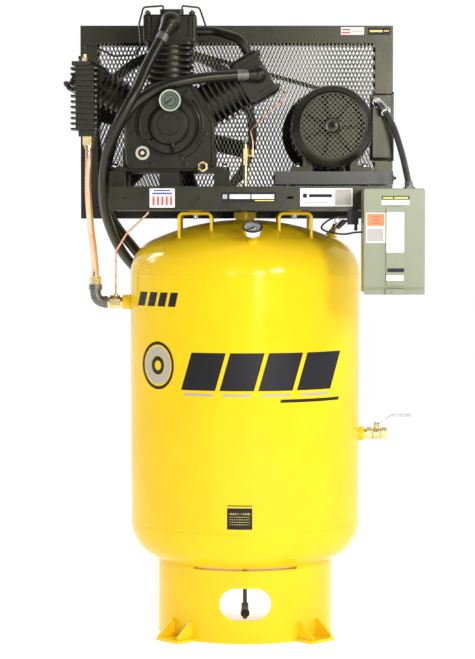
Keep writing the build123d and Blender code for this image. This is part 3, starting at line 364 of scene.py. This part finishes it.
def free_cord(name, route, radius, finish, node):
    """A hose or cord through the given control points, in place of a CAD node."""
    curve = bpy.data.curves.new(name, "CURVE")
    curve.dimensions = "3D"
    curve.bevel_depth = radius * MM
    curve.bevel_resolution = 5
    curve.use_fill_caps = True
    spline = curve.splines.new("NURBS")
    spline.points.add(len(route) - 1)
    for point, place in zip(spline.points, route):
        point.co = (place[0] * MM, place[1] * MM, place[2] * MM, 1)
    spline.order_u = 3
    spline.use_endpoint_u = True
    spline.resolution_u = 12
    spline.use_smooth = True
    curve.materials.append(finish)
    obj = bpy.data.objects.new(name, curve)
    bpy.context.scene.collection.objects.link(obj)
    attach(obj, "frame")
    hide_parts(node)


free_cord("suction_hose_high", HOSE_HIGH, 17, RUBBER, "intake_hose_high")
free_cord("suction_hose_low", HOSE_LOW, 17, RUBBER, "intake_hose_low")
free_cord("motor_cable_conduit", CONDUIT, 10, CONDUIT_GREY, "motor_conduit")
free_cord("pilot_cord", CORD, 3, PLASTIC, "control_cord")

# ---------------------------------------------------------------- guard mesh

MESH_X, MESH_Z = (-517, 460), (1416, 1985)
CELL_W, CELL_L = 12.8, 30.0
STRAND, SHEET = 1.45, 0.6  # half the strand's width and half the sheet's thickness
BOND = 2.6  # half the length along which two strands touch


def expanded_metal(y, tilt, hole):
    """A sheet of expanded metal: zigzag strands that touch their neighbours in turn.

    hole is (x, z, radius) and is left open. tilt leans the strands, as the press leaves them.
    """
    build = Build()
    rows = int((MESH_Z[1] - MESH_Z[0]) / (CELL_L / 2))
    columns = int((MESH_X[1] - MESH_X[0]) / (CELL_W / 2))
    x0 = (MESH_X[0] + MESH_X[1] - columns * CELL_W / 2) / 2
    z0 = (MESH_Z[0] + MESH_Z[1] - rows * CELL_L / 2) / 2
    for c in range(columns + 1):
        run = []
        for r in range(rows + 1):
            swing = 1 if (r + c) % 2 else -1
            x = x0 + c * CELL_W / 2 + swing * (CELL_W / 4 - STRAND * 0.45)
            z = z0 + r * CELL_L / 2
            clear = (x - hole[0]) ** 2 + (z - hole[1]) ** 2 > hole[2] ** 2
            if clear:
                run += [(x, z - BOND), (x, z + BOND)]
            if run and (not clear or r == rows):
                if len(run) > 2:
                    strand(build, run, y, tilt)
                run = []
    return build


def strand(build, run, y, tilt):
    """One zigzag strand of flat section."""
    section = [
        (-STRAND, -SHEET - tilt), (STRAND, -SHEET + tilt),
        (STRAND, SHEET + tilt), (-STRAND, SHEET - tilt),
    ]
    verts = [(x + dx, y + dy, z) for x, z in run for dx, dy in section]
    faces = []
    for i in range(len(run) - 1):
        for k in range(4):
            n = (k + 1) % 4
            faces.append((4 * i + k, 4 * i + n, 4 * i + 4 + n, 4 * i + 4 + k))
    end = 4 * (len(run) - 1)
    faces += [(3, 2, 1, 0), (end, end + 1, end + 2, end + 3)]
    build.add(verts, faces)


front_sheet = expanded_metal(208, 0.25, (CRANK_X, CRANK_Z, 62))
back_sheet = expanded_metal(327, -0.25, (0, 0, 0))
front_sheet.add(back_sheet.verts, back_sheet.faces)
front_sheet.done("guard_expanded_metal", GUARD, "black_paint", smooth=False, replaces=("guard_mesh",))

# ---------------------------------------------------------------- second tones on CAD nodes


def region(finish, name, colour, metal, centre, reach, along):
    """A copy of a finish that takes another colour near a centre.

    The distance is measured along some axes only: along holds 1 for those and 0 for the rest.
    """
    made = finish.copy()
    made.name = name
    nodes, link = made.node_tree.nodes, made.node_tree.links.new
    shader = nodes["Principled BSDF"]
    place = nodes.new("ShaderNodeTexCoord")
    shift = nodes.new("ShaderNodeVectorMath")
    shift.operation = "SUBTRACT"
    shift.inputs[1].default_value = centre
    keep = nodes.new("ShaderNodeVectorMath")
    keep.operation = "MULTIPLY"
    keep.inputs[1].default_value = along
    size = nodes.new("ShaderNodeVectorMath")
    size.operation = "LENGTH"
    near = nodes.new("ShaderNodeMath")
    near.operation = "LESS_THAN"
    near.inputs[1].default_value = reach
    link(place.outputs["Object"], shift.inputs[0])
    link(shift.outputs["Vector"], keep.inputs[0])
    link(keep.outputs["Vector"], size.inputs[0])
    link(size.outputs["Value"], near.inputs[0])
    mix = nodes.new("ShaderNodeMix")
    mix.data_type = "RGBA"
    link(near.outputs["Value"], mix.inputs["Factor"])
    link(shader.inputs["Base Color"].links[0].from_socket, mix.inputs["A"])
    mix.inputs["B"].default_value = (*colour, 1)
    link(mix.outputs["Result"], shader.inputs["Base Color"])
    shine = nodes.new("ShaderNodeMapRange")
    shine.inputs["To Min"].default_value = shader.inputs["Metallic"].default_value
    shine.inputs["To Max"].default_value = metal
    link(near.outputs["Value"], shine.inputs["Value"])
    link(shine.outputs["Result"], shader.inputs["Metallic"])
    return made


def paint(node, finish):
    """Gives a CAD node another finish than its slot's."""
    for place in NODES[node].material_slots:
        place.material = finish


# Painted sheen: the wire mesh of the fan cover takes a paler tone than its drum, for the light the wires
# catch.
FAN_AXIS = (MOTOR_X * MM, 0, MOTOR_Z * MM)
paint("motor_fan_cover", region(MOTOR, "fan cover", (0.060, 0.058, 0.041), 0.0, FAN_AXIS, 0.1035, (1, 0, 1)))
# Bolts more than 1.54 m up, on the pump and guard, are painted over. Those below stay bright.
paint("fasteners", region(ZINC, "bolts", (0.02, 0.019, 0.015), 0.0, (0, 0, 2.0), 0.46, (0, 0, 1)))
# The rotor's shaft is steel, and the fan at its front end is dark plastic.
paint("motor_rotor", region(FAN, "rotor", (0.50, 0.49, 0.47), 1.0, (0, 0.1, 0), 0.32, (0, 1, 0)))
paint("oil_gauge", BEZEL)
paint("oil_gauge_needle", BLACK_CARD)
paint("tank_gauge_needle", BLACK_CARD)


def soften(width, *names):
    """Rounds the sharp edges of sheet-metal boxes by a little, as modifiers."""
    for name in names:
        weld = NODES[name].modifiers.new("weld", "WELD")
        weld.merge_threshold = WELD
        ease = NODES[name].modifiers.new("edges", "BEVEL")
        ease.width = width * MM
        ease.segments = 2
        ease.limit_method = "ANGLE"
        ease.angle_limit = BEVEL_FROM
        ease.harden_normals = True


soften(2.0, "starter_enclosure", "starter_cover", "motor_conduit_box")

# ---------------------------------------------------------------- gauges and sight glass


def facing(origin, axis):
    """A matrix whose Z runs along axis and whose X stays level."""
    z = Vector(axis).normalized()
    x = Vector((1, 0, 0))
    y = z.cross(x).normalized()
    return Matrix.Translation(Vector(origin)) @ Matrix((x, y, z)).transposed().to_4x4()


# Heights above a gauge's base: the card, its ink, and the sweep of the scale that starts at lower left.
CARD_TOP, INK_BASE, INK_TOP = 17.4, 17.3, 17.6
SCALE_START, SCALE_SWEEP = 225, 270
BEZEL_SECTION = (
    (-4.6, 22.2), (-3.4, 24.2), (-1.2, 24.8), (0.5, 23.8),
    (0.6, 20.2), (-0.4, 19.4), (-4.2, 20.6), (-4.6, 22.2),
)


def inked_ring(build, base, axis, outer, inner, top):
    """A flat printed ring on the dial."""
    section = [(inner, INK_BASE), (inner, top), (outer, top), (outer, INK_BASE), (inner, INK_BASE)]
    build.lathe(section, base, axis, 48)


def gauge_face(name, base, axis, radius, card_finish, ink, rim_finish, count):
    """The printed dial, its ticks, the rolled bezel and the window of a dial gauge."""
    at = facing(base, axis)
    disc = [(0, 17.05), (radius - 5, 17.05), (radius - 4.4, CARD_TOP), (0, CARD_TOP)]
    Build().lathe(disc, base, axis, 48).done(name + "_dial", card_finish, "chrome")
    marks = Build()
    for k in range(count):
        turn = math.radians(SCALE_START - SCALE_SWEEP * k / (count - 1))
        length, half = (5.5, 0.7) if k % 5 == 0 else (3, 0.4)
        spin = at @ Matrix.Rotation(turn, 4, "Z")
        marks.box((radius - 7.5 - length, radius - 7.5), (-half, half), (INK_BASE, INK_TOP), spin)
    inked_ring(marks, base, axis, radius - 6.6, radius - 7.4, INK_TOP)
    inked_ring(marks, base, axis, radius - 15, radius - 18, 17.55)
    marks.done(name + "_scale", ink, "chrome", smooth=False)
    bezel = [(radius + r, h) for r, h in BEZEL_SECTION]
    Build().lathe(bezel, base, axis, 56).done(name + "_bezel", rim_finish, "chrome")
    window = [(0, 21.6), (radius - 4.2, 21.3), (radius - 4.2, 22.0), (0, 22.4)]
    Build().lathe(window, base, axis, 48).done(name + "_window", GLASS, "chrome")


gauge_face("oil_gauge", OIL_GAUGE, FRONTWARD, 34, DIAL_CARD, DIAL_INK, BEZEL, 26)
gauge_face("tank_gauge", TANK_GAUGE, TANK_GAUGE_AXIS, 32, WHITE_CARD, BLACK_CARD, BLACK_CARD, 31)

NEEDLE_REST = math.radians(215)


def bold_needle(name, base, axis, reach, body):
    """A dark pointer over the CAD needle, so that it reads at a distance. It rests as that needle does."""
    at = facing(base, axis) @ Matrix.Rotation(NEEDLE_REST, 4, "Z")
    edge = [(-9, 1.6), (-6, 2.6), (0, 3.6), (reach, 0.9)]
    outline = [(x, -y) for x, y in edge] + [(reach + 1, 0)] + edge[::-1]
    verts = [at @ Vector((x, y, h)) for h in (18.8, 20.25) for x, y in outline]
    count = len(outline)
    faces = [tuple(range(count))[::-1], tuple(range(count, 2 * count))]
    faces += [(k, (k + 1) % count, count + (k + 1) % count, count + k) for k in range(count)]
    build = Build().add(verts, faces)
    build.lathe([(0, 20.2), (4.4, 20.2), (4.2, 20.9), (0, 21.1)], base, axis, 24)
    build.done(name, BLACK_CARD, "black_plastic", body, smooth=False)


bold_needle("oil_gauge_pointer", OIL_GAUGE, FRONTWARD, 24, "oil_needle")
bold_needle("tank_gauge_pointer", TANK_GAUGE, TANK_GAUGE_AXIS, 22, "tank_needle")


def turned(name, section, place, sides, finish, slot):
    """A small turned piece whose axis runs to the front."""
    Build().lathe(section, place, FRONTWARD, sides).done(name, finish, slot)


rim = [(14, 0), (14, 11), (15.5, 12.5), (21, 12.5), (22.6, 11), (22.6, 0)]
turned("sight_glass_rim", rim, SIGHT_GLASS, 40, BEZEL, "brass")
pane = [(0, 10.4), (14.2, 10.4), (14.2, 11.0), (0, 11.6)]
turned("sight_glass_window", pane, SIGHT_GLASS, 32, BLACK_CARD, "brass")
glass_x, _, glass_z = SIGHT_GLASS
plug = Build().rod((glass_x, -261, glass_z), (glass_x, -264.5, glass_z), 7.5, 6, 0.8)
plug.done("sight_glass_plug", BRASS, "brass", smooth=False)
# A flat black disc with a rim stands for the drain's open bore: painted shade where the hole would be.
hole_shade = [(0, 0.15), (7.4, 0.15), (7.9, 0.5), (9.8, 0.5), (10.3, 0.1)]
turned("oil_drain_painted_hole", hole_shade, OIL_DRAIN, 24, BLACK_CARD, "brass")

# ---------------------------------------------------------------- motor details

# The grille's rim ring, in the paler tone of painted sheen.
grille = Build().ring((MOTOR_X, FAN_COVER_FRONT + 0.9, MOTOR_Z), FRONTWARD, 103.2, 1.7, 72, 8)
grille.done("fan_grille_rings", GRILLE, "black_paint")
hub = [(26.2, 0), (26.2, 0.9), (24.2, 1.4), (22.6, 0.5), (9.5, 0.5), (8.5, 1.2), (7, 1.2)]
turned("fan_hub_plate", hub, (MOTOR_X, FAN_COVER_FRONT, MOTOR_Z), 40, MOTOR, "black_paint")
dimple = [(7.1, 1.1), (5, -0.2), (0, 0.2)]
turned("fan_hub_dimple", dimple, (MOTOR_X, FAN_COVER_FRONT - 0.3, MOTOR_Z), 24, FAN, "black_paint")

ELBOW = [
    (424, -228, 1740), (424, -243, 1740), (427, -253, 1738),
    (434, -259, 1732), (442, -262, 1721), (449, -270, 1707),
]
elbow = Build().sweep(ELBOW, 13.5, 20)
elbow.lathe([(13.5, 0), (18, 0), (18, 7), (16.5, 8.5), (13.5, 8.5)], (424, -230, 1740), FRONTWARD, 6)
elbow.lathe([(13, 0), (17.5, 0), (17.5, 8), (16, 9.5), (11, 9.5)], (445, -265, 1714), (9, -12, -18), 24)
elbow.done("conduit_elbow", CHROME, "chrome")

# ---------------------------------------------------------------- cast details of the pump

# The casting's outline about the crank's axis. The bead along its edge lies a little inside it.
CASE = [(-143, -122), (-143, 4), (-72.7, 126), (72.7, 126), (143, 4), (143, -122), (120, -148), (-120, -148)]
BEAD_INSET = 0.972
ARC_STEPS = 24


def eased(corners, reach, steps=5):
    """A closed outline with its corners rounded off."""
    points = []
    for i, corner in enumerate(corners):
        here = Vector(corner)
        before = here + (Vector(corners[i - 1]) - here).normalized() * reach
        after = here + (Vector(corners[(i + 1) % len(corners)]) - here).normalized() * reach
        for k in range(steps + 1):
            t = k / steps
            points.append(before * (1 - t) ** 2 + here * 2 * t * (1 - t) + after * t**2)
    return points


def arc(build, radius, start, end, thick, y=CASE_FRONT - 1):
    """A cast bead along an arc about the crank's axis, thin at both ends. The angles are in degrees."""
    run = [math.radians(start + (end - start) * k / ARC_STEPS) for k in range(ARC_STEPS + 1)]
    points = [(CRANK_X + radius * math.cos(a), y, CRANK_Z + radius * math.sin(a)) for a in run]
    build.sweep(points, lambda i: thick * (0.35 if i in (0, ARC_STEPS) else 1), 8)


pump = Build()
edge = eased([(x * BEAD_INSET, z * BEAD_INSET) for x, z in CASE], 14)
pump.sweep([(CRANK_X + p.x, CASE_FRONT - 0.5, CRANK_Z + p.y) for p in edge], 4.2, 8, True)
arc(pump, 108, -38, 48, 2.8)
arc(pump, 118, -64, -22, 2.2)
arc(pump, 108, 132, 200, 2.2)
arc(pump, 88, -60, 75, 2.6, -264)
arc(pump, 56, -100, 60, 2.4, -291)
pump.sweep([(-232, -285, 1630), (-232, -285, 1600), (-232, -270, 1584), (-232, -252, 1578)], 4.4, 8)
pump.sweep([(-221, -251, 1606), (-216, -253, 1590), (-204, -253, 1574), (-188, -251, 1560)], 2.6, 8)
SOCKET_HEAD = [(0, -2), (9.5, -2), (9, 1.5), (7.5, 2.2), (5.2, 2.2), (5, 0.8), (0, 0.8)]
CASE_BOLTS = [
    (-192, 1544), (-300, 1544), (-360, 1640), (-128, 1640), (-187, 1772), (-301, 1772), (-205, 1562),
]
for x, z in CASE_BOLTS:
    pump.lathe(SOCKET_HEAD, (x, CASE_FRONT, z), FRONTWARD, 6)
pump.done("crankcase_cast_ribs", PUMP, "pump_black")

# ---------------------------------------------------------------- welds and silencer bands

# The top head is a dish of DISH_R about a point DISH_Z up the tank's axis.
DISH_R, DISH_Z = 762, 605
welds = Build()
for height in (366, 1187):
    welds.ring((0, 0, height), UPWARD, TANK_SHELL_R, 1.7, 160, 6)
welds.ring((0, 0, 1318), UPWARD, 31.5, 3.2, 40, 8)
for x, y in ((110, -200), (214, -200), (110, 115), (214, 115)):
    height = math.sqrt(DISH_R**2 - x**2 - y**2)
    for side in (-x, x):
        welds.ring((side, y, DISH_Z + height - 0.5), (side, y, height), 5.8, 2.4, 20, 8)
welds.done("tank_weld_beads", YELLOW, "yellow_paint")

# The bands sit a little in front of the can's axis, so that they stay inside the CAD box behind.
BAND_Y = SILENCER_Y - 2.4
BAND = [(89, 0), (91.6, 0), (92.2, 1), (92.2, 19), (91.6, 20), (89, 20)]
LID = [(72, 0), (70, 2.5), (40, 4.5), (15, 4.5), (14, 8), (0, 8)]
can = Build()
for height in (868, 1152):
    can.ring((SILENCER_X, BAND_Y, height), UPWARD, 90.2, 2.1, 72, 8)
for height in (921, 1075):
    can.lathe(BAND, (SILENCER_X, BAND_Y, height), UPWARD, 72)
can.lathe(LID, (SILENCER_X, SILENCER_Y, 1169.8), UPWARD, 48)
can.rod((SILENCER_X, SILENCER_Y, 1177), (SILENCER_X, SILENCER_Y, 1184), 9.5, 6, 1.2)
can.done("silencer_bands", GUARD, "black_paint")

# ---------------------------------------------------------------- plain cards and marks

SUNK = 0.3


def plate(build, x, z, y, thick=0.6, corner=2.0):
    """A thin card with rounded corners, sunk a little into the face at y, its front at y - thick."""
    corner = min(corner, (x[1] - x[0]) / 2.2, (z[1] - z[0]) / 2.2)
    outline = eased([(x[0], z[0]), (x[1], z[0]), (x[1], z[1]), (x[0], z[1])], corner, 3)
    count = len(outline)
    verts = [(p.x, depth, p.y) for depth in (y + SUNK, y - thick) for p in outline]
    faces = [tuple(range(count))[::-1], tuple(range(count, 2 * count))]
    faces += [(k, (k + 1) % count, count + (k + 1) % count, count + k) for k in range(count)]
    build.add(verts, faces)


# Front faces that carry cards, and how far the bars on a card stand out from the face.
CHANNEL, GUARD_FACE, COVER, COVER_RIB = -290, 205, -470, -476
PRINT, OVERPRINT = 0.8, 1.0

white, dark, red, blue, grey, yellow = (Build() for _ in range(6))
# On the platform's front channel.
plate(white, (-305, -225), (1404, 1465), CHANNEL)
for k in range(5):
    plate(red, (-296 + 14 * k, -289 + 14 * k), (1411, 1440), CHANNEL, PRINT, 1)
plate(blue, (-297, -233), (1446, 1452), CHANNEL, PRINT, 1)
plate(blue, (-291, -239), (1456, 1461), CHANNEL, PRINT, 1)
plate(dark, (-78, 98), (1421, 1453), CHANNEL)
for k, (a, b) in enumerate(((-72, -58), (-50, 16), (20, 92))):
    plate(white if k else grey, (a, b), (1432, 1446), CHANNEL, PRINT, 1)
plate(yellow, (30, 92), (1425, 1428), CHANNEL, PRINT, 1)
plate(white, (175, 342), (1408, 1466), CHANNEL)
plate(dark, (183, 197), (1435, 1449), CHANNEL, PRINT, 6)
plate(dark, (203, 276), (1437, 1447), CHANNEL, PRINT, 1)
plate(grey, (190, 262), (1419, 1422), CHANNEL, PRINT, 1)
plate(grey, (286, 338), (1412, 1462), CHANNEL, PRINT, 2)
# On the guard frame's top bar.
plate(white, (328, 407), (1998, 2024), GUARD_FACE)
plate(red, (331, 360), (2003, 2008), GUARD_FACE, PRINT, 1)
plate(red, (331, 360), (2013, 2018), GUARD_FACE, PRINT, 1)
plate(grey, (366, 402), (2009, 2012), GUARD_FACE, PRINT, 1)
plate(dark, (420, 496), (1998, 2022), GUARD_FACE)
plate(yellow, (426, 470), (2007, 2014), GUARD_FACE, PRINT, 1)
plate(yellow, (474, 492), (2009, 2013), GUARD_FACE, PRINT, 1)
# On the starter's cover, so these turn with it.
door = {tone: Build() for tone in ("white", "dark", "orange", "red", "grey", "yellow")}
plate(door["dark"], (422, 508), (1427, 1438), COVER)
plate(door["yellow"], (426, 457), (1430, 1435), COVER, PRINT, 1)
plate(door["yellow"], (461, 504), (1430, 1435), COVER, PRINT, 1)
plate(door["white"], (422, 508), (1411, 1426), COVER)
plate(door["white"], (374, 434), (1293, 1386), COVER)
plate(door["orange"], (377, 431), (1345, 1383), COVER, PRINT, 1)
for z in (1352, 1362, 1372):
    plate(door["red"], (391, 418), (z, z + 2.4), COVER, OVERPRINT, 1)
plate(door["grey"], (377, 428), (1297, 1337), COVER, PRINT, 1)
plate(door["white"], (437, 492), (1263, 1388), COVER_RIB)
plate(door["orange"], (440, 489), (1360, 1362), COVER_RIB, PRINT, 1)
for k in range(6):
    plate(door["grey"], (442, 484 - 6 * (k % 3)), (1272 + 13 * k, 1273.4 + 13 * k), COVER_RIB, PRINT, 1)
plate(door["dark"], (440, 492), (1202, 1214), COVER_RIB)
plate(door["white"], (437, 491), (1176, 1192), COVER_RIB)
plate(door["grey"], (446, 482), (1183, 1185), COVER_RIB, PRINT, 1)
CARDS = {
    "white": WHITE_CARD, "dark": BLACK_CARD, "orange": ORANGE_CARD, "red": RED_CARD, "grey": GREY_CARD,
    "yellow": YELLOW_CARD,
}
for tone, build in door.items():
    build.done(f"starter_{tone}_cards", CARDS[tone], None, "starter_door")
seam = Build()
for height, radius, sides in ((1152, 1.7, 10), (1147, 0.9, 8)):
    seam.rod((369.5, COVER, height), (555.5, COVER, height), radius, sides)
seam.done("starter_cover_seam", GREEN, "starter_paint", "starter_door")

MARK_R = (TANK_SHELL_R + 0.2, TANK_SHELL_R + 1.2)
ROUNDEL_X, ROUNDEL_Z, ROUNDEL_SQUASH = -281, 898, 0.68


def wrapped(build, first, second, closed=False):
    """A thin strip on the tank's wall between two rows of (x, z) points."""
    verts, faces = [], []
    for pair in zip(first, second):
        for radius in MARK_R:
            verts += [(x, -math.sqrt(radius**2 - x**2), z) for x, z in pair]
    count = len(first)
    for i in range(count if closed else count - 1):
        a, b = 4 * i, 4 * ((i + 1) % count)
        faces += [(a + 2, b + 2, b + 3, a + 3), (a, a + 1, b + 1, b)]
        faces += [(a, b, b + 2, a + 2), (a + 1, a + 3, b + 3, b + 1)]
    if not closed:
        e = 4 * (count - 1)
        faces += [(0, 2, 3, 1), (e, e + 1, e + 3, e + 2)]
    build.add(verts, faces)


def slanted(build, x, z, lean):
    """A block on the tank's wall whose top is shifted sideways by lean. Small cells keep it on the curve."""
    steps = max(2, int((x[1] - x[0]) / 7))
    rows = max(1, round(abs(lean) / 5))
    for row in range(rows):
        sides = []
        for part in (row / rows, (row + 1) / rows):
            run = [x[0] + (x[1] - x[0]) * k / steps + lean * part for k in range(steps + 1)]
            sides.append([(a, z[0] + (z[1] - z[0]) * part) for a in run])
        wrapped(build, *sides)


def wrapped_ring(build, outer, inner):
    """A ring on the tank's wall, narrower than it is high."""
    turn = [2 * math.pi * k / 48 for k in range(48)]
    rows = [
        [(ROUNDEL_X + ROUNDEL_SQUASH * r * math.cos(a), ROUNDEL_Z + r * math.sin(a)) for a in turn]
        for r in (outer, inner)
    ]
    wrapped(build, *rows, closed=True)


wrapped_ring(dark, 77, 67)
wrapped_ring(grey, 60, 34)
wrapped_ring(dark, 30, 16)
for a, b in ((-205, -96), (-82, 27), (41, 150), (164, 273)):
    slanted(dark, (a, b), (824, 944), 34)
    slanted(grey, (a + 10, b - 8), (806, 814), 2)
for k in range(4):
    slanted(dark, (-350 + 34 * k, -326 + 34 * k), (1088, 1133), 10)
slanted(dark, (110, 300), (786, 796), 3)
slanted(dark, (-58, 22), (384, 452), 0)
slanted(yellow, (-52, 16), (431, 437), 0)
for z in (399, 407, 415, 423):
    slanted(yellow, (-50, 14), (z, z + 1.6), 0)
slanted(dark, (-58, 22), (458, 461), 0)
dark.done("plain_dark_marks", BLACK_CARD, None)
white.done("plain_white_cards", WHITE_CARD, None)
red.done("plain_red_bars", RED_CARD, None)
blue.done("plain_blue_bars", BLUE_CARD, None)
grey.done("plain_grey_cards", GREY_CARD, None)
yellow.done("plain_yellow_bars", YELLOW_CARD, None)

# ---------------------------------------------------------------- stage, light and camera


def area_light(name, place, target, size, power):
    """A rectangular softbox, in metres and watts, turned towards a target."""
    light = bpy.data.lights.new(name, "AREA")
    light.shape = "RECTANGLE"
    light.size, light.size_y = size
    light.energy = power
    obj = bpy.data.objects.new(name, light)
    obj.location = place
    obj.rotation_euler = (Vector(target) - Vector(place)).to_track_quat("-Z", "Y").to_euler()
    bpy.context.scene.collection.objects.link(obj)
    return obj


area_light("key", (2.65, -4.45, 2.45), (0.05, 0, 1.15), (0.8, 0.8), 105)
area_light("side", (3.9, -1.75, 3.3), (0.1, 0, 1.2), (1.3, 0.9), 60)
area_light("rim", (-3.6, 1.8, 3.4), (0, 0, 1.2), (1.0, 1.6), 80)
area_light("sheen", (1.65, -6.9, 1.95), (0.3, 0, 1.7), (1.0, 1.7), 120)
area_light("left sheen", (-1.75, -6.9, 2.3), (-0.3, 0, 1.6), (0.6, 1.3), 14)
soft = area_light("fill", (-0.9, -6.3, 2.3), (0, 0, 1.0), (2.6, 2.2), 95)
soft.visible_glossy = False

FLOOR = 9
floor_mesh = bpy.data.meshes.new("floor")
floor_corners = [(-FLOOR, -FLOOR, 0), (FLOOR, -FLOOR, 0), (FLOOR, FLOOR, 0), (-FLOOR, FLOOR, 0)]
floor_mesh.from_pydata(floor_corners, [], [(0, 1, 2, 3)])
pale = card("pale floor", (0.90, 0.90, 0.90), 0.6)
glow = pale.node_tree.nodes["Principled BSDF"].inputs
glow["Emission Color"].default_value = (1, 1, 1, 1)
glow["Emission Strength"].default_value = 0.45
floor_mesh.materials.append(pale)
floor = bpy.data.objects.new("floor", floor_mesh)
bpy.context.scene.collection.objects.link(floor)

# The room is white to the eye, but the surfaces see it darker in front than behind.
world = bpy.data.worlds.new("studio")
bpy.context.scene.world = world
world.use_nodes = True
tree = world.node_tree
background = tree.nodes["Background"]
way = tree.nodes.new("ShaderNodeTexCoord")
split = tree.nodes.new("ShaderNodeSeparateXYZ")
shade = tree.nodes.new("ShaderNodeMapRange")
shade.inputs["From Min"].default_value = -0.6
shade.inputs["From Max"].default_value = 0.5
shade.inputs["To Min"].default_value = 0.10
shade.inputs["To Max"].default_value = 1.0
tree.links.new(way.outputs["Generated"], split.inputs["Vector"])
tree.links.new(split.outputs["Y"], shade.inputs["Value"])
path = tree.nodes.new("ShaderNodeLightPath")
seen = tree.nodes.new("ShaderNodeMath")
seen.operation = "MAXIMUM"
tree.links.new(shade.outputs["Result"], seen.inputs[0])
tree.links.new(path.outputs["Is Camera Ray"], seen.inputs[1])
tree.links.new(seen.outputs["Value"], background.inputs["Strength"])
background.inputs["Color"].default_value = (1, 1, 1, 1)

LOOK_DOWN = 2.76
camera_data = bpy.data.cameras.new("camera")
camera_data.sensor_width = 36
camera_data.lens = 113.55
camera_data.clip_end = 60
camera = bpy.data.objects.new("camera", camera_data)
camera.location = (-0.0249, -6.9286, 1.335)
camera.rotation_euler = (math.radians(90 - LOOK_DOWN), 0, 0)
bpy.context.scene.collection.objects.link(camera)
bpy.context.scene.camera = camera
bpy.context.scene.view_settings.view_transform = "Standard"
